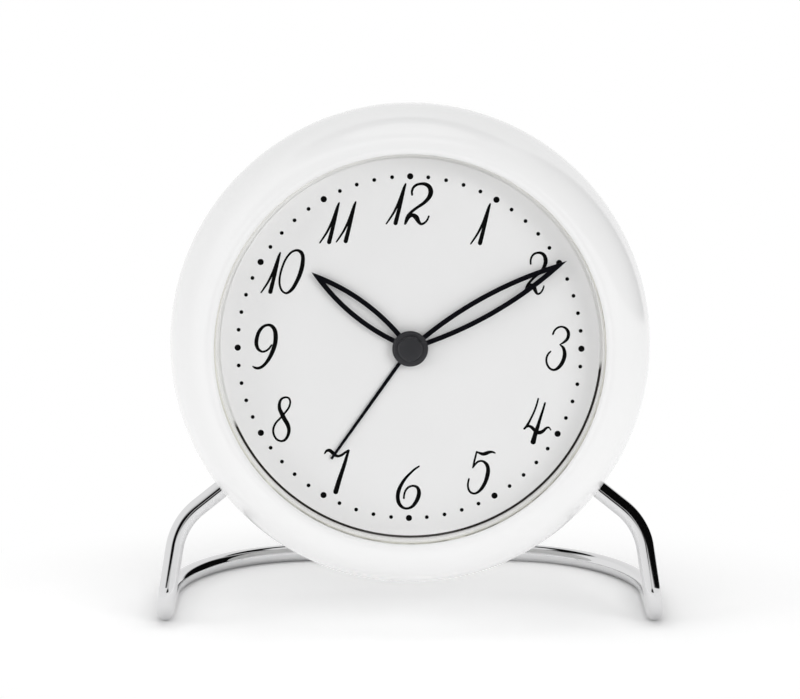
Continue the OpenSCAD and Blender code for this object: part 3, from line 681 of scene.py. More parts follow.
@dataclass
class Workshop:
    """What every sub-assembly needs: the dial's frame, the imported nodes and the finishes."""

    frame: DialFrame
    nodes: dict[str, Piece]
    paint: Paint

    def turn(self, profile: Sequence, steps: int = 288, at: Pair = (0.0, 0.0)) -> Surface:
        """Turns a profile of radius and depth about a line along the dial's axis.

        Point (i, j) is at (radius_i cos a_j, radius_i sin a_j) from the line, at depth_i.

        Args:
            profile: rows of radius and depth, closed to a ring if they begin off the line.
            steps: points round the circle.
            at: where the line crosses the dial.

        Returns:
            The turned surface.
        """
        rows = np.asarray(profile, float)
        points = self.frame.round(at, rows[:, :1], circle(steps), rows[:, 1:])
        return Surface.grid(points, ring=rows[0, 0] > 0)

    def fit(self, shape: Surface | Piece, name: str, body: str, slot: str, finish: Finish,
            instead_of: str = "") -> None:
        """Makes a shape into a finished piece that rides on a body.

        Args:
            shape: the piece's surface, or its object.
            name: its name.
            body: the body that it rides on.
            slot: the record's material slot; not used.
            finish: its finish.
            instead_of: the node that it stands for, if any.
        """
        piece = shape.piece(name) if isinstance(shape, Surface) else shape
        self.paint.dress(piece, finish)
        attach(piece, body)
        if instead_of:
            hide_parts(instead_of)
        log.info("%s: %d faces, on %s", name, len(piece.data.polygons), body)

    def dress(self, **finishes: Finish | ClearPane) -> None:
        """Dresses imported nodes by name."""
        for name, finish in finishes.items():
            self.paint.dress(self.nodes[name], finish)
            log.info("%s: dressed with %s", name, finish.name)


@dataclass
class Assembly:
    """A sub-assembly, with the workshop that it is made in."""

    shop: Workshop


@dataclass
class Stand(Assembly):
    """The stand: one chromed wire with two legs, two feet and a loop that lies on the table.

    Each side runs from its end in the case along a stub, round a knee, down a leg, round a foot and
    along a rail to the loop's corner. The legs lie in a plane that leans forward.
    """

    wire_r: float = 2.1
    lean_deg: float = 16.5
    splay_deg: float = 8.5
    entry_deg: float = 38.5
    plane_depth: float = 24.3
    end_reach: float = 47.1
    foot_half: float = 56.9
    rail_z: float = 1.98
    rail_len: float = 56.3
    knee_r: float = 15.0
    foot_r: float = 5.5
    loop_r: float = 34.0
    wire_steps: int = 40
    arc_step_deg: float = 2.5

    def plane_origin(self) -> Array:
        """Returns the point on the dial's axis that the plane of the legs passes through."""
        return self.shop.frame.centre + self.shop.frame.back * self.plane_depth

    def in_plane(self, out: float, down: float) -> Array:
        """Returns the step for so much outward and so much down along the leaning plane."""
        lean = math.radians(self.lean_deg)
        return np.array([out, -down * math.sin(lean), -down * math.cos(lean)])

    def stub(self) -> Array:
        """Returns the direction of the wire where it leaves the case."""
        entry = math.radians(self.entry_deg)
        return self.in_plane(math.cos(entry), math.sin(entry))

    def rounded(self, corner: Array, come: Array, go: Array, radius: float) -> Array:
        """Points of the bend at a corner: an arc that touches both lines.

        The arc is centre + r (come sin a - inward cos a), where the centre lies a radius inward
        from the point at which the arc begins.

        Args:
            corner: where the two lines would cross.
            come: the direction of the wire before the corner.
            go: its direction after it.
            radius: the bend's radius.

        Returns:
            Rows of points from one touching point to the other.
        """
        turn = math.acos(float(come @ go))
        start = corner - come * radius * math.tan(turn / 2)
        inward = go - come * float(come @ go)
        inward /= np.linalg.norm(inward)
        a = np.linspace(0, turn, round(math.degrees(turn) / self.arc_step_deg) + 1)[:, None]
        return start + inward * radius + radius * (-inward * np.cos(a) + come * np.sin(a))

    def half_path(self) -> Array:
        """Works out the right side, from its end in the case to the loop's corner.

        The stub is as long as makes the leg meet the foot: (foot out - foot down tan splay) over
        (cos entry - sin entry tan splay).

        Returns:
            Rows of points.
        """
        origin, stub = self.plane_origin(), self.stub()
        lean, splay, entry = (math.radians(v) for v in (self.lean_deg, self.splay_deg,
                                                        self.entry_deg))
        down = (origin[2] - self.rail_z) / math.cos(lean)
        reach = (self.foot_half - down * math.tan(splay)) / (
            math.cos(entry) - math.sin(entry) * math.tan(splay))
        foot = origin + self.in_plane(self.foot_half, down)
        leg = self.in_plane(math.sin(splay), math.cos(splay))
        rail, inward = np.array([0.0, 1.0, 0.0]), np.array([-1.0, 0.0, 0.0])
        return np.concatenate([
            [origin + stub * self.end_reach],
            self.rounded(origin + stub * reach, stub, leg, self.knee_r),
            self.rounded(foot, leg, rail, self.foot_r),
            self.rounded(foot + rail * self.rail_len, rail, inward, self.loop_r),
        ])

    def build(self) -> None:
        """Sweeps the wire along its whole path and flattens it where it rests.

        Across the legs and rails the first vector is as near to x as it can be, and the second is
        across it and the path; round the loop the second points down, which meets the first rule
        on the rails.
        """
        right = self.half_path()
        path = np.concatenate([right, (right * MIRROR)[::-1]])
        ahead = np.gradient(path, axis=0)
        ahead /= np.linalg.norm(ahead, axis=1)[:, None]
        ahead[[0, -1]] = self.stub(), self.stub() * MIRROR * -1
        corner = round(90 / self.arc_step_deg) + 1
        number = np.arange(len(path))[:, None]
        flat = abs(number - len(right) + 0.5) < corner
        sign = np.where(number < len(right), 1.0, -1.0)
        side = sign * np.array([1.0, 0.0, 0.0]) - sign * ahead[:, :1] * ahead
        side /= np.maximum(np.linalg.norm(side, axis=1), TINY)[:, None]
        down = np.broadcast_to([0.0, 0.0, -1.0], path.shape)
        side = np.where(flat, np.cross(down, ahead), side)
        other = np.where(flat, down, np.cross(ahead, side))
        tube = swept(path, side, other, self.wire_r, self.wire_steps)
        tube.points[:, 2] = np.maximum(tube.points[:, 2], 0.0)
        self.shop.fit(tube, "chromed_wire", "case", "stand", self.shop.paint.chrome, "stand_wire")


@dataclass
class Case(Assembly):
    """The case with its bezel: one turned shell, with a hole for each end of the wire."""

    stand: Stand
    opening_r: float = 44.04
    crest_r: float = 45.6
    case_r: float = 55.0
    crest_rise: float = 1.6
    lip_t: float = 0.35
    widest_depth: float = 16.0
    band_end: float = 19.5
    taper: float = 1.5
    wall: float = 2.2
    depth: float = 43.5
    cover_t: float = 2.0
    rim_depth: float = 4.0
    rebate_r: float = 49.64
    rear_opening_r: float = 45.24
    seat_r: float = 45.04
    seat_depth: float = 8.0
    gasket_r: float = 44.84
    gasket_inner_r: float = 43.94
    gasket_front: float = 1.8
    gasket_back: float = 2.1
    gasket_round: float = 0.1
    back_round: float = 3.06
    hole_r: float = 2.3
    hole_past: float = 6.0
    socket_r: float = 4.2
    socket_end_gap: float = 0.8
    socket_inset: float = 1.6
    boss_r: float = 2.0
    boss_len: float = 8.0
    boss_gap: float = 1.0
    screw_ring_r: float = 47.24
    screw_angles_deg: Triple = (30.0, 150.0, 270.0)

    def screw_spots(self) -> list[Pair]:
        """Returns the places of the cover's screws, on a ring about the dial's axis."""
        turns = np.radians(self.screw_angles_deg)
        return (self.screw_ring_r * np.stack([np.cos(turns), np.sin(turns)], -1)).tolist()

    def profile(self) -> Array:
        """Draws the shell's closed outline, from the opening outward and round inside.

        Returns:
            Rows of radius and depth.
        """
        tail_r = self.case_r - self.taper
        rebate = self.depth - self.cover_t
        lip_in = self.depth - self.rim_depth
        lip_half = (self.crest_r - self.opening_r, self.crest_rise - self.lip_t)
        bezel_half = (self.case_r - self.crest_r, self.widest_depth + self.crest_rise)
        return np.concatenate([
            [[self.opening_r, 0.0]],
            arc((self.crest_r, -self.lip_t), lip_half, 180, 270, 12),
            arc((self.crest_r, self.widest_depth), bezel_half, -90, 0, 40)[1:],
            [[self.case_r, self.band_end]],
            arc((tail_r - self.back_round, self.depth - self.back_round),
                (self.back_round, self.back_round), 0, 90, 12),
            [[self.rebate_r, self.depth], [self.rebate_r, rebate], [self.rear_opening_r, rebate],
             [self.rear_opening_r, lip_in], [tail_r - self.wall, lip_in - self.wall],
             [self.case_r - self.wall, self.band_end], [self.case_r - self.wall, self.widest_depth],
             [self.seat_r, self.seat_depth], [self.seat_r, 0.0]],
        ])

    def gasket(self) -> Surface:
        """Turns the gasket behind the glass, a flat ring whose inner edge is rounded.

        Returns:
            The ring.
        """
        soft, half = self.gasket_round, (self.gasket_back - self.gasket_front) / 2
        lip = arc((self.gasket_inner_r + soft, self.gasket_front + half), (soft, half), 270, 90, 8)
        outline = [[self.gasket_r, self.gasket_front], *lip, [self.gasket_r, self.gasket_back]]
        return self.shop.turn(outline)

    def build(self) -> None:
        """Turns the shell, adds the screw bosses and sockets, and cuts the wire's two holes."""
        shop, paint = self.shop, self.shop.paint
        front = self.depth - self.cover_t - self.boss_len
        back = self.depth - self.cover_t - self.boss_gap
        boss = [[0, front], [self.boss_r, front], [self.boss_r, back], [0, back]]
        inner = [shop.turn(boss, 32, at) for at in self.screw_spots()]
        origin = self.stand.plane_origin()
        cutters = []
        for flip in (np.ones(3), MIRROR):
            way = self.stand.stub() * flip
            start = origin + way * (self.stand.end_reach - self.socket_end_gap)
            inner.append(rod(start, origin + way * (self.case_r - self.socket_inset),
                             self.socket_r, 40))
            cutters.append(rod(start - way, origin + way * (self.case_r + self.hole_past),
                               self.hole_r, 64))
        shell = shop.turn(self.profile()).piece("case_body")
        cut_through(shell, Surface.together(cutters))
        shop.fit(shell, "case_body", "case", "case", paint.case, "case_shell")
        shop.fit(Surface.together(inner), "case_bosses", "case", "case", paint.cover)
        shop.fit(self.gasket(), "gasket_lip", "case", "gasket", paint.gasket, "glass_gasket")
        shop.dress(glass=paint.glass)


# Each numeral's pen strokes, as rows of x, y and half width from its middle, in hundredths of a
# millimetre.
DIGITS: dict[str, tuple[Stroke, ...]] = {
    "1": (
        ((218, 449, 20), (135, 123, 35), (74, -120, 42), (-6, -434, 49)),
        ((-214, -450, 17), (-145, -350, 22), (-58, -215, 25), (3, -98, 28), (55, 10, 30),
         (107, 149, 30), (176, 358, 25), (215, 445, 20)),
    ),
    "2": (
        ((-147, 207, 24), (-150, 282, 26), (-123, 360, 28), (-61, 421, 30), (25, 449, 30),
         (136, 449, 39), (231, 396, 48), (272, 303, 55), (263, 207, 52), (202, 104, 43),
         (100, 8, 36), (-23, -76, 33), (-136, -161, 33), (-220, -248, 36), (-268, -332, 33),
         (-304, -451, 23)),
        ((-286, -437, 20), (-211, -293, 36), (-127, -257, 45), (-52, -305, 57), (-5, -389, 45),
         (52, -451, 30), (127, -433, 25), (193, -366, 23), (231, -280, 20)),
    ),
    "3": (
        ((-113, 338, 22), (-75, 422, 23), (-5, 486, 23), (84, 507, 22), (166, 479, 28),
         (227, 404, 36), (240, 315, 37), (209, 226, 35), (138, 155, 27), (45, 100, 11)),
        ((45, 96, 11), (111, 46, 30), (147, -34, 39), (157, -132, 45), (134, -240, 45),
         (84, -347, 43), (5, -436, 36), (-84, -477, 27), (-172, -445, 25), (-231, -365, 25),
         (-256, -276, 24), (-247, -185, 23), (-209, -105, 22), (-161, -57, 18)),
    ),
    "4": (
        ((9, 507, 20), (-29, 358, 22), (-91, 189, 23), (-163, 37, 24), (-234, -98, 30),
         (-299, -178, 23)),
        ((163, 409, 22), (113, 233, 27), (57, 55, 32), (16, -89, 39), (-29, -231, 50),
         (-66, -356, 52), (-98, -479, 61)),
        ((-306, -178, 20), (-225, -121, 27), (-154, -132, 34), (-91, -187, 39), (-20, -249, 45),
         (59, -265, 43), (132, -224, 36), (202, -160, 27), (259, -151, 20), (299, -205, 14)),
    ),
    "5": (
        ((-113, 477, 16), (-48, 450, 27), (32, 425, 39), (104, 441, 43), (175, 468, 36),
         (247, 473, 25), (309, 450, 16)),
        ((-109, 477, 20), (-136, 361, 22), (-163, 253, 23), (-191, 119, 18)),
        ((-195, 114, 18), (-145, 183, 23), (-84, 244, 23), (-7, 267, 23), (68, 240, 30),
         (132, 164, 41), (154, 57, 45), (138, -68, 48), (95, -212, 43), (23, -347, 39),
         (-66, -445, 30), (-163, -484, 25), (-252, -445, 25), (-297, -356, 24), (-302, -249, 23),
         (-281, -148, 20)),
    ),
    "6": (
        ((238, 491, 20), (145, 429, 25), (39, 331, 27), (-68, 215, 32), (-157, 80, 39),
         (-220, -64, 45), (-243, -208, 45), (-220, -342, 43), (-147, -441, 34), (-41, -479, 27),
         (75, -441, 34), (163, -342, 43), (225, -208, 48), (240, -91, 45), (200, 7, 34),
         (109, 43, 26), (11, 16, 25), (-59, -55, 24), (-95, -153, 23), (-104, -242, 22)),
    ),
    "7": (
        ((-286, 404, 16), (-236, 463, 30), (-172, 473, 39), (-111, 427, 41), (-48, 368, 36),
         (23, 342, 30), (102, 368, 30), (175, 422, 27), (254, 473, 25)),
        ((268, 473, 20), (227, 365, 32), (175, 185, 40), (111, -11, 45), (41, -226, 52),
         (-32, -477, 57)),
    ),
    "8": (
        ((95, 511, 22), (-2, 475, 27), (-50, 377, 34), (-48, 251, 41), (-2, 144, 48),
         (59, 18, 50), (132, -107, 48), (163, -233, 41), (138, -368, 34), (68, -466, 30),
         (-20, -491, 25), (-118, -447, 25), (-181, -340, 25), (-191, -215, 25), (-136, -80, 24),
         (-29, 37, 23), (77, 162, 23), (157, 269, 23), (193, 395, 23), (166, 484, 23)),
    ),
    "9": (
        ((143, 32, 20), (91, -43, 23), (16, -100, 24), (-70, -116, 25), (-152, -64, 35),
         (-193, 27, 43), (-197, 128, 45), (-172, 251, 42), (-123, 363, 39), (-41, 454, 33),
         (61, 491, 31), (152, 466, 39), (218, 374, 47), (238, 251, 51), (234, 128, 50),
         (209, 7, 50), (161, -126, 48), (102, -249, 43), (29, -361, 37), (-61, -452, 34),
         (-152, -493, 32), (-234, -482, 27), (-279, -452, 14)),
    ),
    "0": (
        ((116, 486, 28), (216, 436, 41), (254, 317, 44), (238, 132, 49), (191, -43, 48),
         (116, -217, 43), (11, -393, 39), (-116, -486, 26), (-220, -427, 24), (-272, -288, 24),
         (-265, -100, 24), (-209, 110, 24), (-127, 295, 24), (-11, 436, 25)),
    ),
}
CLOSED_DIGITS = "08"
PEN_UNITS = 100
PEN_END_DEG = (88, 15, 5)


def pen_line(stroke: Stroke, closed: bool, fine: int) -> Array:
    """Draws a stroke through its rows by a curve that keeps their directions.

    Between rows 1 and 2 the point at t is the cubic blend of rows 0 to 3 whose slope at a row is
    half the step between its neighbours.

    Args:
        stroke: one of the table's strokes.
        closed: whether the stroke closes on itself.
        fine: points drawn for each row.

    Returns:
        Rows of x, y and half width in millimetres.
    """
    rows = np.array(stroke) / PEN_UNITS
    if closed:
        around = np.concatenate([rows[-1:], rows, rows[:2]])
    else:
        around = np.concatenate([2 * rows[:1] - rows[1:2], rows, 2 * rows[-1:] - rows[-2:-1]])
    a, b, c, d = (around[i:len(around) - 3 + i, None] for i in range(4))
    t = np.linspace(0, 1, fine, endpoint=False)[None, :, None]
    curve = 0.5 * (2 * b + (c - a) * t + (2 * a - 5 * b + 4 * c - d) * t**2
                   + (3 * b - a - 3 * c + d) * t**3).reshape(-1, 3)
    return curve if closed else np.concatenate([curve, rows[-1:]])


def pen_end(row: Array, beside: Array, a: Array) -> Array:
    """Draws a stroke's round end: row + w sin a along the way out, with half width w cos a.

    Args:
        row: the stroke's last x, y and half width w.
        beside: the row next to it.
        a: angles round the end.

    Returns:
        Rows of x, y and half width.
    """
    way = (row - beside)[:2]
    way /= np.linalg.norm(way)
    return np.column_stack([row[:2] + row[2] * np.outer(np.sin(a), way), row[2] * np.cos(a)])


@dataclass(frozen=True)
class Numeral:
    """One printed digit.

    Attributes:
        digit: a key of the table of strokes.
        x: its middle, to three o'clock.
        y: its middle, to twelve.
        scale: factors across, upward and for the strokes' width.
    """

    digit: str
    x: float
    y: float
    scale: Triple = (1.0, 1.0, 1.0)


@dataclass
class Dial(Assembly):
    """The dial: a painted disc with slanted numerals and sixty printed dots.

    The printing sits a hair off the middle and a hair turned to the right, as on the real dial.
    """

    face_depth: float = 5.9
    disc_t: float = 0.5
    hole_r: float = 3.05
    edge_r: float = 43.0
    edge_soft: float = 0.05
    ring_r: float = 43.58
    ring_outer_r: float = 44.84
    ring_front: float = 2.1
    print_t: float = 0.02
    print_shift: Pair = (-0.14, -0.06)
    print_turn_deg: float = 0.19
    lift_step: float = 0.001
    lift_limit: float = 0.004
    dot_ring_r: float = 38.9
    hour_dot_r: float = 0.71
    minute_dot_r: float = 0.44
    fine: int = 6
    digits: tuple[Numeral, ...] = (
        Numeral("1", -3.2, 32.69), Numeral("2", 1.91, 32.69), Numeral("1", 15.86, 28.23),
        Numeral("2", 28.45, 17.08, (0.8, 1.03, 0.85)), Numeral("3", 33.55, -0.08),
        Numeral("4", 29.13, -16.52), Numeral("5", 16.42, -28.39), Numeral("6", -0.14, -31.93),
        Numeral("7", -16.36, -28.16), Numeral("8", -28.95, -16.41), Numeral("9", -32.69, 0.26),
        Numeral("1", -31.44, 17.04), Numeral("0", -26.68, 17.27), Numeral("1", -18.17, 28.35),
        Numeral("1", -14.43, 28.58),
    )

    def printed(self, x: Array, y: Array) -> tuple[Array, Array]:
        """Turns the print's points by t to (x cos t + y sin t, y cos t - x sin t) and shifts them.

        Args:
            x: places to three o'clock.
            y: places to twelve.

        Returns:
            Where they land.
        """
        t = math.radians(self.print_turn_deg)
        return (x * math.cos(t) + y * math.sin(t) + self.print_shift[0],
                y * math.cos(t) - x * math.sin(t) + self.print_shift[1])

    def ribbon(self, rows: Array, closed: bool, lift: float) -> Surface:
        """Lays a ribbon of varying width on the dial.

        A cross-section is a low box: row i has corners at centre_i plus or minus across_i times its
        half width, at the face and one print thickness in front of it.

        Args:
            rows: rows of x, y and half width.
            closed: whether the stroke closes on itself.
            lift: how far this stroke stands above its neighbours, so that they don't share a plane.

        Returns:
            The ribbon.
        """
        if closed:
            along = np.roll(rows[:, :2], -1, 0) - np.roll(rows[:, :2], 1, 0)
        else:
            a = np.radians(np.linspace(*PEN_END_DEG))
            rows = np.concatenate([pen_end(rows[0], rows[1], a), rows,
                                   pen_end(rows[-1], rows[-2], a[::-1])])
            along = np.gradient(rows[:, :2], axis=0)
        along /= np.linalg.norm(along, axis=1)[:, None]
        across = np.stack([-along[:, 1], along[:, 0]], -1) * rows[:, 2:]
        left, right = rows[:, :2] + across, rows[:, :2] - across
        back, front = self.face_depth, self.face_depth - self.print_t - lift
        x, y = self.printed(*np.stack([left, left, right, right], 1).transpose(2, 0, 1))
        points = self.shop.frame.place(x, y, np.array([back, front, front, back]))
        return Surface.grid(points, ends=not closed, ring=closed)

    def numerals(self) -> Surface:
        """Draws every numeral's strokes.

        Returns:
            All the ribbons.
        """
        parts, lift = [], 0.0
        for numeral in self.digits:
            closed = numeral.digit in CLOSED_DIGITS
            for stroke in DIGITS[numeral.digit]:
                rows = pen_line(stroke, closed, self.fine) * numeral.scale
                rows[:, :2] += [numeral.x, numeral.y]
                parts.append(self.ribbon(rows, closed, lift))
                lift = (lift + self.lift_step) % self.lift_limit
        return Surface.together(parts)

    def dots(self, places: Array, radius: float) -> Surface:
        """Lays one low round dot at each angle, all from the same small turned profile.

        Args:
            places: angles from twelve o'clock.
            radius: a dot's radius.

        Returns:
            All the dots.
        """
        back, front = self.face_depth, self.face_depth - self.print_t
        profile = [[0, back], [radius, back], [radius, front], [0, front]]
        x, y = self.printed(self.dot_ring_r * np.sin(places), self.dot_ring_r * np.cos(places))
        return Surface.together(self.shop.turn(profile, 24, at)
                                for at in zip(x.tolist(), y.tolist()))

    def disc(self) -> Surface:
        """Turns the painted disc from a plate with a hole in the middle and a softened edge.

        Returns:
            The disc.
        """
        face, back, soft = self.face_depth, self.face_depth + self.disc_t, self.edge_soft
        outline = [[self.hole_r, back], [self.hole_r, face], [self.edge_r - soft, face],
                   [self.edge_r, face + soft], [self.edge_r, back]]
        return self.shop.turn(outline)

    def ring(self) -> Surface:
        """Turns the band round the dial from an upright wall with a softened front edge.

        Returns:
            The band.
        """
        front, back, soft = self.ring_front, self.face_depth + self.disc_t, 2 * self.edge_soft
        outline = [[self.ring_r, back], [self.ring_r, front + soft], [self.ring_r + soft, front],
                   [self.ring_outer_r, front], [self.ring_outer_r, back]]
        return self.shop.turn(outline)

    def build(self) -> None:
        """Prints the dial and makes its disc and the band round it."""
        shop, paint = self.shop, self.shop.paint
        marks = np.arange(MINUTES)
        hours = marks % (MINUTES // HOURS) == 0
        angle = marks * FULL_TURN / MINUTES
        for name, marking in (("dial_numerals", self.numerals()),
                             ("hour_dots", self.dots(angle[hours], self.hour_dot_r)),
                             ("minute_dots", self.dots(angle[~hours], self.minute_dot_r))):
            shop.fit(marking, name, "case", "dial", paint.ink)
        shop.fit(self.disc(), "dial_disc", "case", "dial", paint.dial, "dial")
        shop.fit(self.ring(), "dial_band", "case", "dial_ring", paint.ring, "dial_ring")
        # the carrier's finish paints shade low and light high in the gap round the dial
        shop.dress(dial_carrier=paint.carrier)


@dataclass
class Hands(Assembly):
    """Hour, minute and alarm hands, the satin collar on the minute hand's hub and the cap on it."""

    cap_r: float = 2.8
    cap_front: float = 3.15
    cap_back: float = 3.95
    cap_round: float = 0.3
    collar_r: float = 4.06
    collar_bore: float = 2.5
    collar_t: float = 0.04
    collar_round: float = 0.03

    def build(self) -> None:
        """Turns the cap and the collar with their rounded edges and dresses the hands."""
        shop, paint, back = self.shop, self.shop.paint, self.cap_back
        front, soft = self.cap_front, self.cap_round
        edge = arc((self.cap_r - soft, front + soft), (soft, soft), 0, -90, 8)
        cap = [[0, back], [self.cap_r, back], *edge, [0, front]]
        shop.fit(shop.turn(cap, 64), "hub_cap_turned", "minute", "hub", paint.cap, "hub_cap")
        front, soft = back - self.collar_t, self.collar_round
        edge = arc((self.collar_r - soft, front + soft), (soft, soft), 0, -90, 4)
        collar = [[self.collar_bore, back], [self.collar_r, back], *edge, [self.collar_bore, front]]
        shop.fit(shop.turn(collar, 96), "hub_collar", "minute", "hub", paint.cap)
        shop.dress(minute_hand=paint.hands, hour_hand=paint.hands, alarm_hand=paint.hands)


@dataclass
class Rear(Assembly):
    """The back: cover, two fluted knobs, alarm switch, three screws and the battery door.

    Attributes:
        case: the case that the cover closes.
        dish: the knob's rear face, as shares of its radius and depths below its rim.
    """

    case: Case
    knob_r: float = 7.0
    knob_front: float = 43.9
    knob_back: float = 48.9
    knob_floor: float = 1.2
    knob_round: float = 0.7
    knob_edge: float = 0.15
    knob_skirt: float = 2.0
    dish: tuple[Pair, ...] = ((0.86, 0.0), (0.8, 0.35), (0.4, 0.45), (0.0, 0.45))
    flutes: int = 24
    flute_r: float = 0.6
    flute_steps: int = 14
    bore_r: float = 1.0
    set_knob_at: Pair = (-10.392, 6.0)
    alarm_knob_at: Pair = (11.085, 6.4)
    screw_r: float = 0.9
    screw_len: float = 7.0
    tip_r: float = 0.54
    tip_len: float = 0.7
    head_r: float = 1.8
    head_h: float = 1.1
    head_edge: float = 0.15
    recess_half: float = 0.24
    recess_reach: float = 1.15
    recess_depth: float = 0.55
    recess_soft: float = 0.1
    rib_half: float = 5.0
    rib_r: float = 0.5
    rib_sink: float = 0.05
    rib_power: int = 16
    rib_least: float = 0.0004
    ribs_y: Triple = (-21.2, -23.4, -25.6)

    def knob(self, at: Pair) -> Surface:
        """Makes a knob with round flutes, a rounded rear edge and a blind bore for its arbor.

        At angle p from a flute's middle the wall stands at c cos p - sqrt(f^2 - c^2 sin^2 p),
        where c is the distance of the flute's centre and f its radius, and never beyond the
        knob's radius.

        Args:
            at: the arbor's place.

        Returns:
            The closed knob, its rows running from the bore round the front to the dish.
        """
        a = circle(self.flutes * self.flute_steps)
        pitch = FULL_TURN / self.flutes
        p = (a + pitch / 2) % pitch - pitch / 2
        c = self.knob_r + self.flute_r / 3
        inside = self.flute_r**2 - (c * np.sin(p)) ** 2
        wall = np.where(inside > 0, c * np.cos(p) - np.sqrt(np.maximum(inside, 0)), self.knob_r)
        wall = np.minimum(wall, self.knob_r)
        front, back, soft = self.knob_front, self.knob_back, self.knob_round
        bevel = arc((0.0, back - soft), (soft, soft), 0, 90, 7)
        insets = [(self.knob_edge, front), (0.0, front + self.knob_edge),
                  (0.0, front + self.knob_skirt), *((soft - x, depth) for x, depth in bevel)]
        plain = [(0.0, back - self.knob_floor), (self.bore_r, back - self.knob_floor),
                 (self.bore_r, front)]
        rows = [(0 * a + r, depth) for r, depth in plain]
        rows += [(wall - inset, depth) for inset, depth in insets]
        rows += [(0 * a + share * self.knob_r, back - sunk) for share, sunk in self.dish]
        radius, depth = (np.array(column) for column in zip(*rows))
        return Surface.grid(self.shop.frame.round(at, radius, a, depth[:, None]))

    def screw(self, at: Pair) -> Surface:
        """Makes a screw with a cross recess in its head.

        The head's face lies at the cover's face; where the smaller of |x| and |y| is under the
        recess's half width and the larger is under its reach, it sinks, with soft sides.

        Args:
            at: the screw's place.

        Returns:
            The closed screw.
        """
        a = circle(96) + FULL_TURN / 16
        face, edge, soft = self.case.depth, self.head_edge, self.recess_soft
        low, tip = face - self.head_h, face - self.case.cover_t - self.screw_len
        lower = [[0, tip], [self.tip_r, tip], [self.screw_r, tip + self.tip_len],
                 [self.screw_r, low], [self.head_r, low], [self.head_r, face - edge]]
        upper = np.linspace([self.head_r - edge, face], [0.0, face], 26)
        rows = np.concatenate([lower, upper])
        x, y = rows[:, :1] * np.cos(a), rows[:, :1] * np.sin(a)
        small, large = np.minimum(abs(x), abs(y)), np.maximum(abs(x), abs(y))
        cross = (np.clip((self.recess_half - small) / soft, 0, 1)
                 * np.clip((self.recess_reach - large) / (3 * soft), 0, 1))
        cross[:len(lower)] = 0
        depth = rows[:, 1:] - cross * self.recess_depth
        return Surface.grid(self.shop.frame.place(at[0] + x, at[1] + y, depth))

    def rib(self, y: float) -> Surface:
        """Makes a low moulded rib along x, a half-round bar whose ends taper by sqrt(1 - x^power).

        Args:
            y: its place on the dial.

        Returns:
            The closed rib.
        """
        a = np.linspace(0, math.pi, 13)
        x = np.linspace(-1, 1, 25)[:, None]
        r = self.rib_r * np.sqrt(np.clip(1 - x**self.rib_power, self.rib_least, 1))
        depth = self.case.depth - self.rib_sink + r * np.sin(a)
        points = self.shop.frame.place(x * self.rib_half, y + r * np.cos(a), depth)
        return Surface.grid(points, ends=True)

    def build(self) -> None:
        """Fits knobs, screws and ribs, and dresses what stays."""
        shop, paint = self.shop, self.shop.paint
        for node, at, body in (("set_knob", self.set_knob_at, "setting"),
                               ("alarm_knob", self.alarm_knob_at, "alarm_setting")):
            shop.fit(self.knob(at), node + "_fluted", body, "knobs", paint.knob, node)
        screws = Surface.together(self.screw(at) for at in self.case.screw_spots())
        shop.fit(screws, "cross_head_screws", "case", "screws", paint.steel, "cover_screws")
        ribs = Surface.together(self.rib(y) for y in self.ribs_y)
        shop.fit(ribs, "door_ribs", "door", "back_cover", paint.cover)
        shop.dress(back_cover=paint.cover, battery_door=paint.cover, alarm_switch=paint.switch,
                   buzzer=paint.disc, contact_plus=paint.spring, contact_minus=paint.spring)


@dataclass
class Inside(Assembly):
    """The movement's wheels and motor, its board, and the battery."""

    battery_r: float = 7.1
    battery_len: float = 49.2
    battery_y: float = -26.0
    battery_depth: float = 33.4
    edge_r: float = 0.6
    nub_r: float = 2.7
    nub_h: float = 1.0
    nub_round: float = 0.3
    nub_step: float = 0.8

    def battery(self) -> Surface:
        """Turns the battery's profile about x, with rolled edges and a rounded terminal.

        Returns:
            The closed battery.
        """
        half, r, e, n = self.battery_len / 2, self.battery_r, self.edge_r, self.nub_round
        foot = arc((-half + e, r - e), (e, e), 180, 90, 6)
        shoulder = arc((half - e, r - e), (e, e), 90, 0, 6)
        tip = arc((half + self.nub_h - n, self.nub_r - n), (n, n), 90, 0, 5)
        profile = np.array([[-half, 0.0], *foot, *shoulder, [half, self.nub_r + self.nub_step],
                            [half, self.nub_r], *tip, [half + self.nub_h, 0.0]])
        along, radius, a = profile[:, :1], profile[:, 1:], circle(72)
        y, depth = self.battery_y + radius * np.cos(a), self.battery_depth + radius * np.sin(a)
        return Surface.grid(self.shop.frame.place(along, y, depth))

    def build(self) -> None:
        """Fits the battery and dresses the movement's nodes."""
        shop, paint = self.shop, self.shop.paint
        shop.fit(self.battery(), "battery_cell", "case", "battery", paint.sleeve, "battery")
        shop.dress(
            minute_wheel=paint.wheel, hour_wheel=paint.wheel, alarm_wheel=paint.wheel,
            centre_wheel=paint.wheel, third_wheel=paint.wheel, movement_plate=paint.plate,
            movement_housing=paint.housing, movement_screws=paint.steel, minute_shaft=paint.brass,
            set_arbor=paint.brass, alarm_arbor=paint.brass, rotor=paint.magnet, stator=paint.iron,
            coil_core=paint.iron, coil=paint.winding, circuit_board=paint.board,
            control_chip=paint.resin, quartz_crystal=paint.tin)


# ---------------------------------------------------------------- the studio


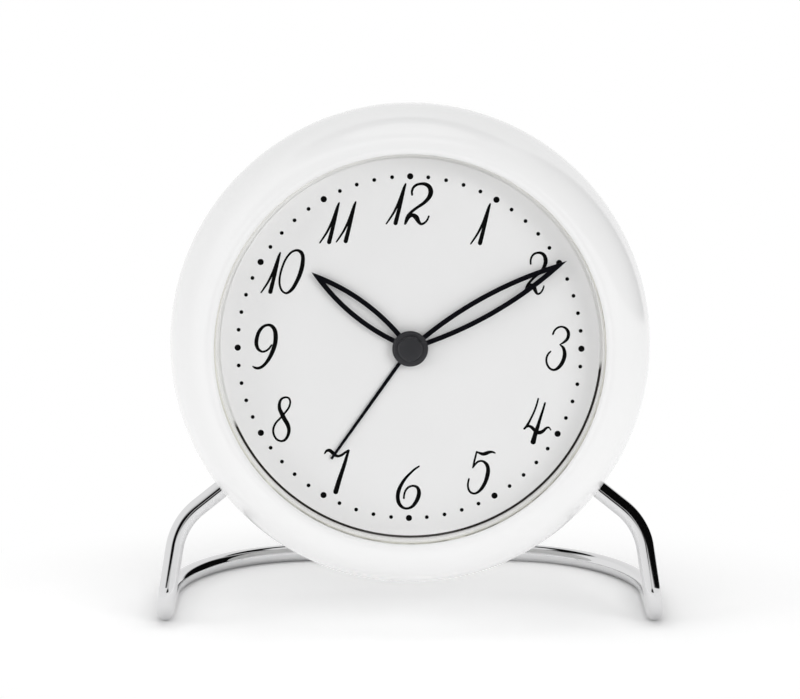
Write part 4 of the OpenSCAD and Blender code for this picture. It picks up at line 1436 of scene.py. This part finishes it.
@dataclass
class Studio:
    """Camera, floor, lamps and surroundings, at the photograph's angle.

    Attributes:
        front_wall: what a mirror sees in front, as stops of height and level; likewise the others.
        behind_stops: where the back wall takes over from the front wall; likewise the others.
        lamps: each lamp's name, place, size and power.
    """

    eye: Triple = (-0.002304, -0.71780, 0.21681)
    tilt_deg: float = 77.728
    lens_mm: float = 141.33
    sensor_mm: float = 36.0
    near_clip: float = 0.01
    floor_r: float = 450.0
    floor_z: float = -0.03
    floor_colour: float = 0.92
    floor_bounce: float = 0.14
    seen_colour: float = 1.2
    floor_glow: float = 0.01
    shade_reach: float = 0.006
    shade_least: float = 0.75
    fade_radii: Pair = (0.05, 0.095)
    fade_shift: Triple = (0.0, 0.015, 0.0)
    fade_scale: Triple = (0.75, 1.0, 1.0)
    sky_level: float = 0.5
    front_wall: Stops = (
        (0.0, 0.95), (0.262, 0.95), (0.285, 0.003), (0.5, 0.003), (0.64, 0.8), (0.78, 0.9),
        (0.81, 0.003), (0.93, 0.003), (0.955, 0.9))
    back_wall: Stops = ((0.0, 0.95), (0.78, 0.9), (0.81, 0.003), (0.93, 0.003), (0.955, 0.9))
    right_wall: Stops = ((0.0, 0.95), (0.53, 0.95), (0.55, 0.003), (0.9, 0.003), (0.98, 0.9))
    slant: float = 0.25
    behind_stops: Stops = ((0.0, 0.0), (0.5, 0.0), (0.65, 1.0), (1.0, 1.0))
    right_stops: Stops = ((0.0, 0.0), (0.67, 0.0), (0.72, 1.0), (1.0, 1.0))
    screen_stops: Stops = ((0.0, 1.0), (0.18, 1.0), (0.27, 0.0), (1.0, 0.0))
    front_stops: Stops = ((0.0, 1.0), (0.008, 1.0), (0.02, 0.0), (1.0, 0.0))
    screen_level: float = 0.98
    front_level: float = 0.03
    target: Triple = (0.0, 0.0, 0.06)
    lamps: tuple[tuple[str, Triple, Pair, float], ...] = (
        ("soft_top", (0.0, 0.0, 1.5), (1.0, 1.0), 3.4),
        ("soft_front_right", (1.1, -1.2, 0.6), (0.9, 0.9), 7.6),
        ("soft_left", (-1.5, -0.5, 0.5), (0.9, 0.9), 6.3),
        ("soft_front", (0.0, -1.5, 0.9), (2.4, 1.2), 2.6),
    )

    def camera(self) -> None:
        """Sets the camera where the photograph was taken from."""
        data = bpy.data.cameras.new("photo_camera")
        data.lens, data.sensor_width, data.sensor_fit = self.lens_mm, self.sensor_mm, "HORIZONTAL"
        data.clip_start = self.near_clip
        camera = bpy.data.objects.new("photo_camera", data)
        camera.location = self.eye
        camera.rotation_euler = (math.radians(self.tilt_deg), 0, 0)
        bpy.context.scene.collection.objects.link(camera)
        bpy.context.scene.camera = camera

    def matte(self, shader: Shader, colour: float, glow: float) -> Socket:
        """Makes a glowing matte grey with painted contact shade, which darkens it close to what
        stands on it.

        Args:
            shader: the material under construction.
            colour: the grey's level.
            glow: strength of its own light.

        Returns:
            The surface.
        """
        # painted contact shade: the ambient occlusion darkens the grey where the wire's rails and
        # feet rest
        sky = shader.add("AmbientOcclusion", {"Distance": self.shade_reach}).outputs["AO"]
        grey = shader.ranged(sky, colour * self.shade_least, colour)
        paint = shader.add("BsdfDiffuse", {"Color": grey}).outputs["BSDF"]
        light = shader.add("Emission", {"Strength": glow}).outputs["Emission"]
        return shader.add("AddShader", {0: paint, 1: light}).outputs["Shader"]

    def distance(self, shader: Shader) -> Socket:
        """Works out how far off the clock's shadow a point of the floor is.

        Args:
            shader: the material under construction.

        Returns:
            Nought in the shadow to one far from it.
        """
        place = shader.add("Mapping", {"Vector": shader.place, "Location": self.fade_shift,
                                       "Scale": self.fade_scale}).outputs["Vector"]
        length = shader.add("VectorMath", {0: place}, operation="LENGTH").outputs["Value"]
        return shader.share(length, *self.fade_radii, interpolation_type="SMOOTHSTEP")

    def floor(self) -> None:
        """Lays a pale floor that keeps the clock's shadow and fades into plain white.

        What is seen of it, also in metal and through glass, is paler than what it throws back.
        """
        rim, a = self.floor_r, circle(96)
        points = np.stack([rim * np.cos(a), rim * np.sin(a), np.full_like(a, self.floor_z)], -1)
        ground = Surface(points, [tuple(range(len(a)))]).piece("studio_floor")
        shader = Shader("floor_paint")
        rays = shader.add("LightPath").outputs
        seen = shader.math("MAXIMUM", rays["Is Camera Ray"], rays["Is Glossy Ray"])
        seen = shader.math("MAXIMUM", seen, rays["Is Transmission Ray"])
        near = shader.blend(seen, self.matte(shader, self.floor_colour, self.floor_bounce),
                            self.matte(shader, self.seen_colour, self.floor_glow))
        white = shader.add("Emission").outputs["Emission"]
        ground.data.materials.append(shader.done(shader.blend(self.distance(shader), near, white)))

    def surroundings(self) -> None:
        """Makes the studio round the clock.

        Light comes evenly from it and the camera sees white. A mirror sees pale walls with a dark
        band and a pale ceiling with a dark ring, by the direction that it looks in: the band is
        narrow in front and deep on the right, where it leans, and there is none behind. On the
        left a pale screen takes its place, and where the camera stands it is dim.
        """
        world = bpy.data.worlds.new("studio")
        world.use_nodes = True
        bpy.context.scene.world = world
        sky = Nodes(world.node_tree)
        way = sky.add("TexCoord").outputs["Generated"]
        x, y, z = sky.add("SeparateXYZ", {0: way}).outputs

        def across(value: Socket, stops: Stops) -> Socket:
            """Returns a ramp over a direction of minus one to one."""
            return sky.ramp(sky.math("MULTIPLY_ADD", value, 0.5, 0.5), stops)

        step = sky.math("MULTIPLY", y, self.slant)
        walls = sky.mix(across(y, self.behind_stops), sky.ramp(z, self.front_wall),
                        sky.ramp(z, self.back_wall))
        walls = sky.mix(across(sky.math("SUBTRACT", x, step), self.right_stops), walls,
                        across(sky.math("ADD", z, step), self.right_wall))
        walls = sky.mix(across(x, self.screen_stops), walls, self.screen_level)
        mirrored = sky.mix(across(y, self.front_stops), walls, self.front_level)
        rays = sky.add("LightPath").outputs
        lit = sky.mix(rays["Is Glossy Ray"], self.sky_level, mirrored)
        seen = sky.math("MAXIMUM", rays["Is Camera Ray"], rays["Is Transmission Ray"])
        ground = sky.add("Background", {"Color": sky.mix(seen, lit, 1.0)})
        sky.add("OutputWorld", {"Surface": ground.outputs[0]})

    def lights(self) -> None:
        """Hangs the soft lamps, each turned toward the clock."""
        for name, place, (wide, high), power in self.lamps:
            data = bpy.data.lights.new(name, "AREA")
            data.shape, data.size, data.size_y, data.energy = "RECTANGLE", wide, high, power
            lamp = bpy.data.objects.new(name, data)
            lamp.location, lamp.visible_glossy = place, False
            toward = Vector(self.target) - Vector(place)
            lamp.rotation_euler = toward.to_track_quat("-Z", "Y").to_euler()
            bpy.context.scene.collection.objects.link(lamp)

    def build(self) -> None:
        """Sets up the whole studio."""
        self.camera()
        self.floor()
        self.surroundings()
        self.lights()
        bpy.context.scene.view_settings.view_transform = "Standard"


def main() -> None:
    """Builds the clock's sub-assemblies in order."""
    logging.basicConfig(level=logging.INFO, format="%(message)s")
    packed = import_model()
    axis = next(joint for joint in packed["joints"] if joint["name"] == "minute_turn")
    frame = DialFrame.from_joint(axis, packed["nodes"]["glass"])
    log.info("dial centre at %s", np.round(frame.centre, 3))
    shop = Workshop(frame, packed["nodes"], Paint())
    stand = Stand(shop)
    case = Case(shop, stand)
    for assembly in (stand, case, Dial(shop), Hands(shop), Rear(shop, case), Inside(shop)):
        assembly.build()
        log.info("%s done", type(assembly).__name__)
    Studio().build()


if __name__ == "__main__":
    main()
